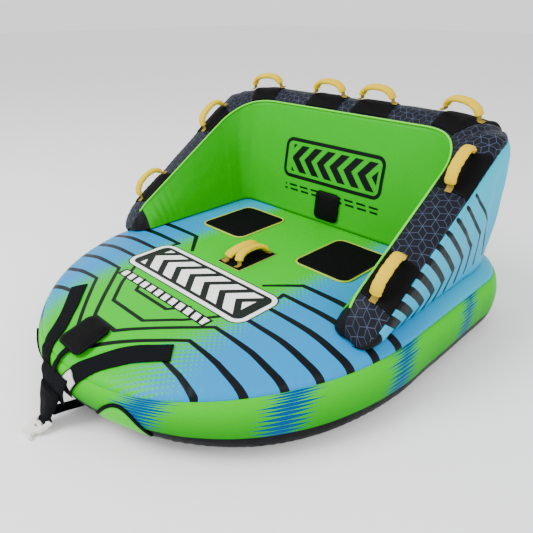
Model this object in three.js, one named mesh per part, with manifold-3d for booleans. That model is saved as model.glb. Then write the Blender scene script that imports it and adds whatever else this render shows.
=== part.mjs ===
// Two-rider towable tube: an inflated deck with a U-shaped backrest, webbing handles and a bow harness.
// Millimetres, +Z up, nose towards -Y, the riders' left towards +X, floor at z = 0.
import * as THREE from 'three';
import { mergeVertices } from 'three/addons/utils/BufferGeometryUtils.js';
import Module from 'manifold-3d';

const wasm = await Module();
wasm.setup();

// ---- driving dimensions -------------------------------------------------------------------------

// deck plan: half an ellipse forward of BEAM_Y, a rounded rectangle behind it
const BEAM_Y = 224;             // where the deck is widest and the nose curve starts
const EDGE_HALF_WIDTH = 747;    // plan line where the flat top turns into the side wall
const NOSE_LENGTH = 912;
const REAR_Y = 1066;
const REAR_CORNER = 240;
const SIDE_BULGE = 80;          // how far the side wall swells past the plan line
const DECK_TOP = 318;
const DECK_CROWN = 42;          // drop of the flat top at its edge
const CROWN_POWER = 8;
const BOW_DROP = 62;            // the edge sinks further towards the bow, less again at its tip
const ROCKER_START = 0.12;      // share of the nose where the underside starts to rise
const ROCKER_RISE = 98;
const NOSE_STEPS = 24;
const REAR_TURNS = [14, 27, 35, 39, 42, 45, 48, 51, 55, 63, 76, 90];

// fabric cover over the air bladders
const COVER_GAP = 1;
const COVER_OUT = 3;
const TOP_SEAM = 51;            // angle on the side wall, degrees above its middle
const LOW_SEAM = -56;
const BAND_HEIGHTS = [28, 4, -26];
const TOP_SHARES = [0.45, 0.72, 0.84, 0.93, 1];

// backrest: four seams, each a U in plan
const ARM_START_Y = -20;
const TOE_SHARE = 0.16;         // share of the arm's length that rounds down to the deck
const TOE_X = 680;
const WALL_LIFT = 7.5;          // bottom of the backrest above the deck bladder
const SEAMS = {
  innerLow: { half: 583, back: 693, corner: 45 },
  innerTop: { half: 641, back: 774, corner: 215 },
  outerTop: { half: 773, back: 946, corner: 194 },
  outerLow: { half: 738, back: 1006, corner: 190 },
};
const TURN_START_Y = 559;       // every seam's corner lies between this line and TURN_END_X
const TURN_END_X = 426;
const INNER_RISE = { start: 71, slope: 0.65, limit: 554 };
const OUTER_RISE = { start: 25, slope: 0.693, limit: 554 };
const RISE_BLEND = 40;
const RIM_CROWN_ARM = 6;
const RIM_CROWN_BACK = 48;
const FACE_BULGE = 9;
const SIDE_SWELL = 20;
const ARM_STATIONS = [0.012, 0.04, 0.09, 0.16, 0.32, 0.48, 0.64, 0.82, 1];
const CORNER_STATIONS = [1.15, 1.3, 1.4, 1.5, 1.6, 1.7, 1.85, 2];
const BACK_STATIONS = [2.25, 2.5, 2.75];

// handles
const HANDLE_HALF = 82;
const HANDLE_HEIGHT = 54;
const WEB_WIDTH = 25;
const WEB_THICK = 2.5;
const WEB_START = 10;           // the loose webbing starts above its stitching, where it can twist
const GRIP_WIDTH = 44;
const GRIP_THICK = 25;
const GRIP_START = 0.06;
const RIM_HANDLES = [0.305, 1.045, 1.74, 2.676];
const RIM_HANDLE_ACROSS = 0.44;
const PAD_HALF = 98;
const DECK_HANDLE = { x: 40, y: 152, half: 82, height: 40, lean: 14 };

// seat pads and the deck patch, [low x, low y, high x, high y, corner radius]
const SEAT_PAD = [170, 258, 453, 588, 42];
const DECK_PATCH = [-73, 34, 73, 268, 6];

// valves under neoprene flaps
const FLAP_HALF = 74;
const FLAP_LENGTH = 146;
const FLAP_DOME = 17;
const FLAP_THICK = 4;
const DECK_FLAP_Y = -550;       // sewn rear edge of the flap near the nose
const DECK_FLAP_SLOPE = 0.29;
const BACK_FLAP_Z = 482;        // sewn top edge of the flap on the backrest
const VALVE_RADIUS = 21;
const CAP_RADIUS = 15;

// bow harness
const STRAP_WIDTH = 68;
const STRAP_THICK = 4;
const LIFT_Y = -766;            // line the towing sleeve swings about
const LIFT_Z = 152;
const SLEEVE_LENGTH = 98;
const BAR_Y = -815;             // bar of the tow connector, inside the webbing ring
const BAR_Z = 32;
const CONNECTOR_DIP = 17;
const CONNECTOR_THICK = 18;

// zip along the rear side, and where the origin stands along the object
const ZIP_HALF = 470;
const ZIP_ANGLE = 22;
const FRAME_SHIFT_Y = -130.4;

// ---- materials ----------------------------------------------------------------------------------

const cloth = (color, roughness = 0.6) =>
  new THREE.MeshStandardMaterial({ color, roughness, metalness: 0 });
const COLOURS = {
  bladder: 0x9aa0a6, deck: 0x5bd64a, band: 0x3fbf2f, bottom: 0x101114, inner: 0x35cf1c,
  rim: 0x1a2030, outer: 0x18b7ec, piping: 0x9df07a, black: 0x121214, yellow: 0xf7d308,
  webbing: 0xd9b800, plastic: 0xf1efe9, valve: 0x2b2d30, label: 0xe9e6e0, zip: 0x202226,
};

const towable = new THREE.Group();
towable.position.y = FRAME_SHIFT_Y;

function add(name, geometry, color, parent = towable, roughness) {
  const mesh = new THREE.Mesh(geometry, cloth(color, roughness));
  mesh.name = name;
  parent.add(mesh);
  return mesh;
}

function frameAt(name, origin, xAxis, zAxis) {
  const group = new THREE.Group();
  const z = zAxis.clone().normalize();
  const x = xAxis.clone().addScaledVector(z, -xAxis.dot(z)).normalize();
  group.setRotationFromMatrix(new THREE.Matrix4().makeBasis(x, z.clone().cross(x), z));
  group.position.copy(origin);
  group.name = name;
  towable.add(group);
  return group;
}

// ---- closed bodies from rows of points ----------------------------------------------------------

const vec = (x, y, z) => new THREE.Vector3(x, y, z);
const radians = THREE.MathUtils.degToRad;
const mix = THREE.MathUtils.lerp;

function bodyFrom(points, faces) {
  let volume = 0;
  for (const [a, b, c] of faces) {
    volume += points[a].dot(points[b].clone().cross(points[c]));
  }
  const geometry = new THREE.BufferGeometry().setFromPoints(points);
  geometry.setIndex(faces.flatMap(([a, b, c]) => (volume > 0 ? [a, b, c] : [a, c, b])));
  geometry.computeVertexNormals();
  return geometry;
}

// four points of one facet, split along the shorter diagonal
function facet(points, a, b, c, d) {
  const firstIsShort = points[a].distanceTo(points[c]) < points[b].distanceTo(points[d]) + 1e-6;
  return firstIsShort ? [[a, b, c], [a, c, d]] : [[a, b, d], [b, c, d]];
}

// Rings of equal length, joined side by side. The two end rings are closed with a fan, or joined to
// each other when the body is itself a ring.
function ringBody(rings, joined = false) {
  const count = rings[0].length;
  const points = rings.flat();
  const faces = [];
  const last = joined ? rings.length : rings.length - 1;
  for (let r = 0; r < last; r++) {
    const next = ((r + 1) % rings.length) * count;
    for (let i = 0; i < count; i++) {
      const j = (i + 1) % count;
      faces.push(...facet(points, r * count + i, r * count + j, next + j, next + i));
    }
  }
  if (!joined) {
    [0, rings.length - 1].forEach((r, end) => {
      const middle = rings[r].reduce((sum, p) => sum.add(p), vec(0, 0, 0)).divideScalar(count);
      const hub = points.push(middle) - 1;
      for (let i = 0; i < count; i++) {
        const a = r * count + i;
        const b = r * count + (i + 1) % count;
        faces.push(end ? [a, b, hub] : [b, a, hub]);
      }
    });
  }
  return bodyFrom(points, faces);
}

// A sheet with two faces, each a grid of points, closed along its four edges.
function sheetBody(front, back) {
  const rows = front.length;
  const columns = front[0].length;
  const points = [...front.flat(), ...back.flat()];
  const behind = rows * columns;
  const faces = [];
  const quad = (...corners) => faces.push(...facet(points, ...corners));
  for (let r = 0; r + 1 < rows; r++) {
    for (let c = 0; c + 1 < columns; c++) {
      const a = r * columns + c;
      quad(a, a + 1, a + columns + 1, a + columns);
      quad(behind + a, behind + a + columns, behind + a + columns + 1, behind + a + 1);
    }
    const low = r * columns;
    const high = low + columns - 1;
    quad(low, low + columns, behind + low + columns, behind + low);
    quad(high, behind + high, behind + high + columns, high + columns);
  }
  const top = (rows - 1) * columns;
  for (let c = 0; c + 1 < columns; c++) {
    quad(c, behind + c, behind + c + 1, c + 1);
    quad(top + c, top + c + 1, behind + top + c + 1, behind + top + c);
  }
  return bodyFrom(points, faces);
}

function cut(geometry, ...tools) {
  const solids = [geometry, ...tools].map((source) => {
    const plain = source.clone();
    plain.deleteAttribute('normal');
    plain.deleteAttribute('uv');
    const merged = mergeVertices(plain, 1e-3);
    return new wasm.Manifold(new wasm.Mesh({
      numProp: 3,
      vertProperties: new Float32Array(merged.attributes.position.array),
      triVerts: new Uint32Array(merged.index.array),
    }));
  });
  const mesh = solids.reduce((left, tool) => left.subtract(tool)).getMesh();
  const result = new THREE.BufferGeometry();
  result.setAttribute('position', new THREE.BufferAttribute(mesh.vertProperties, 3));
  result.setIndex(new THREE.BufferAttribute(mesh.triVerts, 1));
  result.computeVertexNormals();
  return result;
}

// ---- deck surface -------------------------------------------------------------------------------

// how far a point is from the middle towards the plan line, which is where this reaches 1
function deckReach(x, y) {
  const across = Math.abs(x);
  const along = y - BEAM_Y;
  if (along <= 0) return Math.hypot(across / EDGE_HALF_WIDTH, along / NOSE_LENGTH);
  const reach = REAR_Y - BEAM_Y;
  const straightX = EDGE_HALF_WIDTH - REAR_CORNER;
  const straightY = reach - REAR_CORNER;
  if (along * EDGE_HALF_WIDTH <= across * straightY) return across / EDGE_HALF_WIDTH;
  if (along * straightX >= across * reach) return along / reach;
  const size = across ** 2 + along ** 2;
  const lean = across * straightX + along * straightY;
  const rest = straightX ** 2 + straightY ** 2 - REAR_CORNER ** 2;
  return size / (lean + Math.sqrt(lean ** 2 - size * rest));
}

// plan line at an angle: 0 is the riders' left side, 90 the tail, -90 the nose
function deckEdge(angle) {
  const x = EDGE_HALF_WIDTH * Math.cos(angle);
  const along = Math.sin(angle) * (angle > 0 && angle < Math.PI ? REAR_Y - BEAM_Y : NOSE_LENGTH);
  const reach = deckReach(x, BEAM_Y + along);
  return vec(x / reach, BEAM_Y + along / reach, 0);
}

const noseShare = (y) => Math.min(1, Math.max(0, (BEAM_Y - y) / NOSE_LENGTH));

function rocker(y) {
  return ROCKER_RISE * (Math.max(0, noseShare(y) - ROCKER_START) / (1 - ROCKER_START)) ** 4;
}

function bowDrop(y) {
  const share = noseShare(y);
  return BOW_DROP * share ** 5.6 * (1 - 0.6 * share ** 12);
}

function deckTop(x, y) {
  return DECK_TOP - (DECK_CROWN + bowDrop(y)) * deckReach(x, y) ** CROWN_POWER;
}

const rearTurns = [...REAR_TURNS, ...[...REAR_TURNS].reverse().slice(1).map((turn) => 180 - turn), 180];
const noseTurns = Array.from({ length: NOSE_STEPS }, (_, i) => -180 + ((i + 1) * 180) / NOSE_STEPS);
const deckAngles = [...rearTurns, ...noseTurns].map(radians);

function topRing(share, out) {
  return deckAngles.map((angle) => {
    const edge = deckEdge(angle);
    const x = edge.x * share;
    const y = BEAM_Y + (edge.y - BEAM_Y) * share;
    return vec(x, y, deckTop(x, y) + out);
  });
}

function bottomRing(share, out) {
  return deckAngles.map((angle) => {
    const edge = deckEdge(angle);
    const y = BEAM_Y + (edge.y - BEAM_Y) * share;
    return vec(edge.x * share, y, rocker(y) + COVER_OUT - out);
  });
}

// a point of the swelling side wall: height is an angle, 90 at the top edge and -90 underneath
function sidePoint(angle, height, out) {
  const edge = deckEdge(angle);
  const step = 1e-3;
  const along = deckEdge(angle + step).sub(deckEdge(angle - step)).normalize();
  const high = deckTop(edge.x, edge.y);
  const low = rocker(edge.y) + COVER_OUT;
  const half = (high - low) / 2;
  const bulge = SIDE_BULGE * Math.sqrt(half / (DECK_TOP / 2));
  const swell = (bulge + out) * Math.cos(radians(height));
  return vec(
    edge.x + along.y * swell,
    edge.y - along.x * swell,
    (high + low) / 2 + (half + out) * Math.sin(radians(height)),
  );
}

const sideRing = (height, out) => deckAngles.map((angle) => sidePoint(angle, height, out));

function deckBladder() {
  return ringBody([
    ...TOP_SHARES.map((share) => topRing(share, 0)),
    ...[72, TOP_SEAM, ...BAND_HEIGHTS, LOW_SEAM, -74, -90].map((height) => sideRing(height, 0)),
    bottomRing(0.6, 0),
  ]);
}

function deckTopCover() {
  const side = (out) => [sideRing(72, out), sideRing(TOP_SEAM + 0.6, out)];
  const sheet = ringBody([
    ...TOP_SHARES.map((share) => topRing(share, COVER_OUT)),
    ...side(COVER_OUT),
    ...side(COVER_GAP).reverse(),
    ...[...TOP_SHARES].reverse().map((share) => topRing(share, COVER_GAP)),
  ]);
  const valve = deckValvePlace();
  const hole = new THREE.CylinderGeometry(VALVE_RADIUS + 3, VALVE_RADIUS + 3, 30, 20);
  hole.rotateX(Math.PI / 2).translate(0, valve.y, valve.z);
  return cut(sheet, hole);
}

function deckSideBand() {
  const heights = [TOP_SEAM - 0.6, ...BAND_HEIGHTS, LOW_SEAM + 0.6];
  return ringBody([
    ...heights.map((height) => sideRing(height, COVER_OUT)),
    ...[...heights].reverse().map((height) => sideRing(height, COVER_GAP)),
  ], true);
}

function deckBottomCover() {
  const heights = [LOW_SEAM - 0.6, -74, -90];
  return ringBody([
    bottomRing(0.6, COVER_OUT),
    ...[...heights].reverse().map((height) => sideRing(height, COVER_OUT)),
    ...heights.map((height) => sideRing(height, COVER_GAP)),
    bottomRing(0.6, COVER_GAP),
  ]);
}

// ---- backrest surface ---------------------------------------------------------------------------

// place along the U: 0 to 1 is the left arm from its toe, 1 to 2 the corner, 3 the middle of the
// back, and 3 to 6 the same again on the right side
function seamPlan(seam, place) {
  const s = Math.min(place, 6 - place);
  let { x, y } = seamCorner(seam, THREE.MathUtils.clamp(s - 1, 0, 1));
  if (s < 1) y = mix(ARM_START_Y, TURN_START_Y, s);
  if (s > 2) x = TURN_END_X * (3 - s);
  x = mix(TOE_X, x, toeShare(place) ** 0.6);
  return { x: place > 3 ? -x : x, y };
}

// the corner of a seam, walked at a steady pace from TURN_START_Y to TURN_END_X
function seamCorner({ half, back, corner }, share) {
  const before = back - corner - TURN_START_Y;
  const arc = (corner * Math.PI) / 2;
  const walked = share * (before + arc + half - corner - TURN_END_X);
  if (walked < before) return { x: half, y: TURN_START_Y + walked };
  if (walked > before + arc) return { x: half - corner - (walked - before - arc), y: back };
  const turn = (walked - before) / corner;
  return { x: half - corner * (1 - Math.cos(turn)), y: back - corner * (1 - Math.sin(turn)) };
}

function toeShare(place) {
  const s = Math.min(place, 6 - place);
  if (s >= TOE_SHARE) return 1;
  return Math.sqrt(1 - (1 - s / TOE_SHARE) ** 2);
}

function rise(profile, y) {
  const ramp = profile.start + profile.slope * y;
  const gap = ramp - profile.limit;
  return (ramp + profile.limit - Math.sqrt(gap * gap + RISE_BLEND ** 2)) / 2;
}

function seamPoint(name, place) {
  const { x, y } = seamPlan(SEAMS[name], place);
  const floor = deckTop(x, y) + WALL_LIFT;
  if (name === 'innerLow' || name === 'outerLow') return vec(x, y, floor);
  const profile = name === 'innerTop' ? INNER_RISE : OUTER_RISE;
  return vec(x, y, mix(floor, DECK_TOP + rise(profile, y), toeShare(place)));
}

const backShare = (place) => THREE.MathUtils.smoothstep(Math.min(place, 6 - place), 0.8, 2);

// the three fabric faces of the backrest; across runs 0 to 1 from the seat side outwards
function wallPoint(face, place, across) {
  const [from, to] = {
    inner: ['innerLow', 'innerTop'], rim: ['innerTop', 'outerTop'], outer: ['outerTop', 'outerLow'],
  }[face];
  const start = seamPoint(from, place);
  const end = seamPoint(to, place);
  const point = start.clone().lerp(end, across);
  const swell = Math.sin(Math.PI * across) * toeShare(place);
  if (face === 'rim') {
    point.z += swell * mix(RIM_CROWN_ARM, RIM_CROWN_BACK, backShare(place));
    return point;
  }
  const outward = seamPoint('outerLow', place).sub(seamPoint('innerLow', place)).setZ(0).normalize();
  return point.addScaledVector(outward, face === 'outer' ? swell * SIDE_SWELL : -swell * FACE_BULGE);
}

function wallNormal(face, place, across) {
  const step = 1e-3;
  const a = Math.max(across - step, 0);
  const b = Math.min(across + step, 1);
  const acrossWay = wallPoint(face, place, b).sub(wallPoint(face, place, a));
  const alongWay = wallPoint(face, place + step, across).sub(wallPoint(face, place - step, across));
  return acrossWay.cross(alongWay).normalize();
}

function wallOffset(face, place, across, out) {
  return wallPoint(face, place, across).addScaledVector(wallNormal(face, place, across), out);
}

const half = [...ARM_STATIONS, ...CORNER_STATIONS, ...BACK_STATIONS];
const wallPlaces = [...half, 3, ...[...half].reverse().map((place) => 6 - place)];
const quarters = [0, 0.25, 0.5, 0.75, 1];

// the underside of the backrest follows the deck
function wallFoot(place) {
  return [0.1, 0.25, 0.5, 0.75].map((share) => {
    const point = seamPoint('outerLow', place).lerp(seamPoint('innerLow', place), share);
    return point.setZ(deckTop(point.x, point.y) + WALL_LIFT);
  });
}

function backrestBladder() {
  return ringBody(wallPlaces.map((place) => [
    ...quarters.slice(0, 4).map((across) => wallPoint('inner', place, across)),
    ...quarters.slice(0, 4).map((across) => wallPoint('rim', place, across)),
    ...quarters.map((across) => wallPoint('outer', place, across)),
    ...wallFoot(place),
  ]));
}

function wallPanel(face, low, high) {
  const across = quarters.map((share) => mix(low, high, share));
  const side = (out) => wallPlaces.map((place) => across.map((a) => wallOffset(face, place, a, out)));
  return sheetBody(side(COVER_OUT), side(COVER_GAP));
}

function backrestInnerPanel() {
  const place = backValvePlace();
  const hole = new THREE.CylinderGeometry(VALVE_RADIUS + 3, VALVE_RADIUS + 3, 40, 20);
  hole.translate(0, place.y, place.z);
  return cut(wallPanel('inner', 0, 0.995), hole);
}

function seamPiping() {
  const radius = 4;
  const places = wallPlaces.slice(2, -2);
  return ringBody(places.map((place) => {
    const up = wallNormal('inner', place, 1).add(wallNormal('rim', place, 0)).normalize();
    const centre = seamPoint('innerTop', place).addScaledVector(up, COVER_OUT + radius + 1.5);
    const along = seamPoint('innerTop', place + 0.01).sub(seamPoint('innerTop', place - 0.01)).normalize();
    const side = along.cross(up).normalize();
    return Array.from({ length: 6 }, (_, i) => {
      const turn = (Math.PI * i) / 3;
      return centre.clone().addScaledVector(up, radius * Math.cos(turn))
        .addScaledVector(side, radius * Math.sin(turn));
    });
  }));
}

// ---- webbing handles ----------------------------------------------------------------------------

class HandleArc extends THREE.Curve {
  constructor(halfSpan, height, start) {
    super();
    this.halfSpan = halfSpan;
    this.height = height;
    this.start = start;
  }

  getPoint(t, target = new THREE.Vector3()) {
    const turn = Math.PI * mix(1 - this.start, this.start, t);
    const flat = Math.sign(Math.cos(turn)) * Math.abs(Math.cos(turn)) ** 0.8;
    return target.set(this.halfSpan * flat, 0, WEB_START + this.height * Math.sin(turn) ** 0.9);
  }
}

function handleWebbing(halfSpan, height) {
  const section = new THREE.Shape();
  section.moveTo(-WEB_WIDTH / 2, -WEB_THICK / 2).lineTo(WEB_WIDTH / 2, -WEB_THICK / 2);
  section.lineTo(WEB_WIDTH / 2, WEB_THICK / 2).lineTo(-WEB_WIDTH / 2, WEB_THICK / 2);
  section.closePath();
  const path = new HandleArc(halfSpan, height, 0);
  return new THREE.ExtrudeGeometry(section, { steps: 16, extrudePath: path, bevelEnabled: false });
}

function handleGrip(halfSpan, height) {
  const outline = (count, width, thick) => Array.from({ length: count }, (_, i) => {
    const turn = (2 * Math.PI * (i + 0.5)) / count;
    const reach = 1 / Math.cos(Math.PI / count);
    return new THREE.Vector2(width / 2 * reach * Math.cos(turn), thick / 2 * reach * Math.sin(turn));
  });
  const section = new THREE.Shape(outline(8, GRIP_WIDTH, GRIP_THICK));
  section.holes.push(new THREE.Path(outline(4, WEB_WIDTH + 3, WEB_THICK + 3.5)));
  const path = new HandleArc(halfSpan, height, GRIP_START);
  return new THREE.ExtrudeGeometry(section, { steps: 11, extrudePath: path, bevelEnabled: false });
}

function addHandle(name, place, halfSpan, height) {
  add(`${name}_webbing`, handleWebbing(halfSpan, height), COLOURS.webbing, place);
  add(`${name}_grip`, handleGrip(halfSpan, height), COLOURS.yellow, place, 0.5);
}

function rimPad(place) {
  const near = [place - 0.05, place + 0.05].map((p) => wallPoint('rim', p, 0.5));
  const reach = (0.1 * PAD_HALF) / near[0].distanceTo(near[1]);
  const places = [-1, -0.5, 0, 0.5, 1].map((share) => place + share * reach);
  const across = [0.08, 0.25, 0.5, 0.75, 0.92];
  const side = (out) => places.map((p) => across.map((a) => wallOffset('rim', p, a, out)));
  return sheetBody(side(COVER_OUT + 6), side(COVER_OUT + 4));
}

function addRimHandles() {
  const places = [...RIM_HANDLES, ...[...RIM_HANDLES].reverse().map((place) => 6 - place)];
  places.forEach((place, i) => {
    const name = `rim_handle_${i + 1}`;
    const along = wallPoint('rim', place + 0.02, 0.5).sub(wallPoint('rim', place - 0.02, 0.5));
    const origin = wallOffset('rim', place, RIM_HANDLE_ACROSS, COVER_OUT + 7);
    add(`${name}_pad`, rimPad(place), COLOURS.black);
    const seat = frameAt(name, origin, along, wallNormal('rim', place, RIM_HANDLE_ACROSS));
    addHandle(name, seat, HANDLE_HALF, HANDLE_HEIGHT);
  });
}

function addDeckHandles() {
  for (const [name, side] of [['deck_handle_left', 1], ['deck_handle_right', -1]]) {
    const lean = radians(DECK_HANDLE.lean) * side;
    const x = DECK_HANDLE.x * side;
    const origin = vec(x, DECK_HANDLE.y, deckTop(x, DECK_HANDLE.y) + COVER_OUT + 5);
    const up = vec(-Math.sin(lean), 0, Math.cos(lean));
    const seat = frameAt(name, origin, vec(0, 1, 0), up);
    addHandle(name, seat, DECK_HANDLE.half, DECK_HANDLE.height);
  }
}

// ---- pads on the deck ---------------------------------------------------------------------------

function roundedLoop([lowX, lowY, highX, highY, radius], steps = 4) {
  const loop = [];
  const corners = [[highX, highY, 0], [lowX, highY, 90], [lowX, lowY, 180], [highX, lowY, 270]];
  for (const [x, y, start] of corners) {
    const centreX = x - Math.sign(x - (lowX + highX) / 2) * radius;
    const centreY = y - Math.sign(y - (lowY + highY) / 2) * radius;
    for (let i = 0; i <= steps; i++) {
      const turn = radians(start + (90 * i) / steps);
      loop.push([centreX + radius * Math.cos(turn), centreY + radius * Math.sin(turn)]);
    }
  }
  return loop;
}

function deckPad(box, mirror, low, high) {
  const loop = roundedLoop(box);
  const middle = [(box[0] + box[2]) / 2, (box[1] + box[3]) / 2];
  const ring = (share, out) => loop.map(([px, py]) => {
    const x = mirror * mix(middle[0], px, share);
    const y = mix(middle[1], py, share);
    return vec(x, y, deckTop(x, y) + out);
  });
  return ringBody([ring(0.55, high), ring(1, high), ring(1, low), ring(0.55, low)]);
}

// ---- valves and their flaps ---------------------------------------------------------------------

function deckValvePlace() {
  const y = DECK_FLAP_Y - FLAP_LENGTH / 2;
  return vec(0, y, deckTop(0, y));
}

function backValveShare() {
  const face = wallPoint('inner', 3, 1).z - DECK_TOP;
  return (BACK_FLAP_Z - FLAP_LENGTH / 2 - DECK_TOP) / face;
}

function backValvePlace() {
  return wallPoint('inner', 3, backValveShare());
}

function valveBase() {
  const profile = [[0, 0.4], [VALVE_RADIUS, 0.4], [VALVE_RADIUS, 2.6], [CAP_RADIUS - 2, 2.6],
    [CAP_RADIUS - 2, 6.5], [0, 6.5]].map(([r, z]) => new THREE.Vector2(r, z));
  return new THREE.LatheGeometry(profile, 20).rotateX(Math.PI / 2);
}

function valveCap() {
  const outline = new THREE.Shape();
  const teeth = 24;
  for (let i = 0; i < teeth; i++) {
    const turn = (2 * Math.PI * i) / teeth;
    const radius = i % 4 < 2 ? CAP_RADIUS : CAP_RADIUS - 2.5;
    outline[i ? 'lineTo' : 'moveTo'](radius * Math.cos(turn), radius * Math.sin(turn));
  }
  outline.closePath();
  const cap = new THREE.ExtrudeGeometry(outline, { depth: 6, bevelEnabled: false });
  return cap.translate(0, 0, 7);
}

// a neoprene flap in its own frame: sewn edge along x at y = 0, free end at y = -FLAP_LENGTH
function valveFlap() {
  const loop = roundedLoop([-FLAP_HALF, -FLAP_LENGTH, FLAP_HALF, 0, 14], 2);
  const ring = (share, z) => loop.map(([x, y]) => {
    const middle = -FLAP_LENGTH / 2;
    return vec(x * share, mix(middle, y, share), z);
  });
  return ringBody([
    ring(0.45, FLAP_DOME + FLAP_THICK), ring(0.75, FLAP_DOME * 0.7 + FLAP_THICK), ring(1, FLAP_THICK),
    ring(1, 0), ring(0.75, FLAP_DOME * 0.7), ring(0.45, FLAP_DOME),
  ]);
}

function addValve(name, point, normal, flapPoint, flapNormal) {
  const seat = frameAt(`${name}_valve`, point, vec(1, 0, 0), normal);
  add(`${name}_valve_base`, valveBase(), COLOURS.valve, seat, 0.4);
  add(`${name}_valve_cap`, valveCap(), COLOURS.black, seat, 0.4);
  const flapSeat = frameAt(`${name}_valve_flap`, flapPoint, vec(1, 0, 0), flapNormal);
  add(`${name}_valve_flap`, valveFlap(), COLOURS.black, flapSeat, 0.8);
}

function addValves() {
  const bow = deckValvePlace();
  const slope = (deckTop(0, bow.y + 60) - deckTop(0, bow.y - 60)) / 120;
  const bowSewn = vec(0, DECK_FLAP_Y, deckTop(0, DECK_FLAP_Y));
  const bowOut = vec(0, -DECK_FLAP_SLOPE, 1).normalize();
  bowSewn.addScaledVector(bowOut, COVER_OUT + 5);
  addValve('deck', bow, vec(0, -slope, 1).normalize(), bowSewn, bowOut);
  const back = backValvePlace();
  const normal = wallNormal('inner', 3, backValveShare());
  const down = vec(0, -normal.z, normal.y);
  const sewn = back.clone().addScaledVector(down, -FLAP_LENGTH / 2);
  addValve('back', back, normal, sewn.addScaledVector(normal, COVER_OUT + 5), normal);
}

// ---- bow harness --------------------------------------------------------------------------------

// the angle on the deck's plan line whose point has this x, on the nose
const noseAngle = (x) => -Math.acos(THREE.MathUtils.clamp(x / EDGE_HALF_WIDTH, -1, 1));

// stations are [x, y] on the flat top, or [x, null, height] where the strap turns down the nose
function noseStrap(stations, width, out) {
  const middle = stations.map(([x, y, height]) => (
    y === null ? sidePoint(noseAngle(x), height, 0) : vec(x, y, deckTop(x, y))));
  const grid = (lift) => stations.map(([x, y, height], i) => {
    const before = middle[Math.max(i - 1, 0)];
    const after = middle[Math.min(i + 1, stations.length - 1)];
    const way = after.clone().sub(before).setZ(0).normalize();
    return [-0.5, 0, 0.5].map((share) => {
      const shift = share * width;
      if (y === null) return sidePoint(noseAngle(x + shift), height, lift);
      const px = x - way.y * shift;
      const py = y + way.x * shift;
      return vec(px, py, deckTop(px, py) + lift);
    });
  });
  return sheetBody(grid(out + STRAP_THICK), grid(out));
}

function sideStrap(side) {
  const path = [[315, -478], [265, -522], [215, -566], [174, -612], [146, -646]];
  const drop = [[121, 80], [104, 58], [88, 36], [70, 14]];
  return noseStrap([
    ...path.map(([x, y]) => [side * x, y]),
    ...drop.map(([x, height]) => [side * x, null, height]),
  ], STRAP_WIDTH, COVER_OUT + 2);
}

function centreStrap() {
  return noseStrap([[0, null, 88], [0, null, 64], [0, null, 40], [0, null, 16]], 26,
    COVER_OUT + 9);
}

function keelStrap() {
  const route = [[-792, 52], [-752, 44], [-690, 27], [-610, 14], [-500, 8], [-390, 8]];
  const side = (lift) => route.map(([y, z]) => [-25, 25].map((x) => vec(x, y, z + lift)));
  return sheetBody(side(2.5), side(0));
}

function strapLabel() {
  const side = (lift) => [[82, 84], [84, 62], [86, 40]].map(([x, height]) => (
    [-26, 26].map((dx) => sidePoint(noseAngle(x + 12 + dx), height, lift))));
  return sheetBody(side(COVER_OUT + 2 + STRAP_THICK + 3), side(COVER_OUT + 2 + STRAP_THICK + 2));
}

// a flat tapering sleeve in the frame of its swinging line
function towSleeve() {
  const stations = [[0, 60, 15], [-20, 58, 17], [-45, 48, 16], [-SLEEVE_LENGTH, 32, 13]];
  return ringBody(stations.map(([z, halfWidth, halfDepth]) => Array.from({ length: 12 }, (_, i) => {
    const turn = (2 * Math.PI * i) / 12;
    const lean = (z / SLEEVE_LENGTH) * 36;
    return vec(halfWidth * Math.cos(turn), lean - 8 + halfDepth * Math.sin(turn), z - 6);
  })));
}

function ringLoop() {
  const ring = new THREE.Shape().absarc(0, 0, 15, 0, 2 * Math.PI);
  ring.holes.push(new THREE.Path().absarc(0, 0, 11.6, 0, 2 * Math.PI, true));
  const width = 42;
  const loop = new THREE.ExtrudeGeometry(ring, { depth: width, bevelEnabled: false, curveSegments: 10 });
  return loop.translate(0, 0, -width / 2).rotateY(Math.PI / 2);
}

// the tow connector in its own frame: bar at the origin, hook end towards +y
function towConnector() {
  const side = [[38, -7], [38, 14], [31, 40], [19, 52], [19, 60], [28, 66], [28, 76]];
  const outline = new THREE.Shape();
  side.forEach(([x, y], i) => outline[i ? 'lineTo' : 'moveTo'](x, y));
  [...side].reverse().forEach(([x, y]) => outline.lineTo(-x, y));
  outline.closePath();
  const slot = (halfWidth, low, high) => new THREE.Path()
    .moveTo(-halfWidth, low).lineTo(-halfWidth, high).lineTo(halfWidth, high).lineTo(halfWidth, low);
  outline.holes.push(slot(24, 6, 19), slot(9, 30, 35));
  const plate = new THREE.ExtrudeGeometry(outline, {
    depth: CONNECTOR_THICK - 5, bevelEnabled: true, bevelThickness: 2.5, bevelSize: 2,
    bevelOffset: -2, bevelSegments: 1,
  });
  return plate.translate(0, 0, -(CONNECTOR_THICK - 5) / 2);
}

function addHarness() {
  const strap = COLOURS.black;
  add('harness_strap_left', sideStrap(1), strap);
  add('harness_strap_right', sideStrap(-1), strap);
  add('harness_centre_strap', centreStrap(), strap);
  add('harness_keel_strap', keelStrap(), strap);
  add('harness_label', strapLabel(), COLOURS.label);
  const lift = frameAt('harness_lift', vec(0, LIFT_Y, LIFT_Z), vec(1, 0, 0), vec(0, 0, 1));
  add('tow_sleeve', towSleeve(), strap, lift, 0.8);
  const bar = vec(0, BAR_Y, BAR_Z);
  const dip = radians(CONNECTOR_DIP);
  const ring = frameAt('connector_bar', bar, vec(1, 0, 0), vec(0, 0, 1));
  add('tow_ring_webbing', ringLoop(), strap, ring, 0.8);
  const normal = vec(0, -Math.sin(dip), Math.cos(dip));
  const plate = frameAt('connector_plate', bar, vec(-1, 0, 0), normal);
  add('tow_connector', towConnector(), COLOURS.plastic, plate, 0.35);
}

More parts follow.
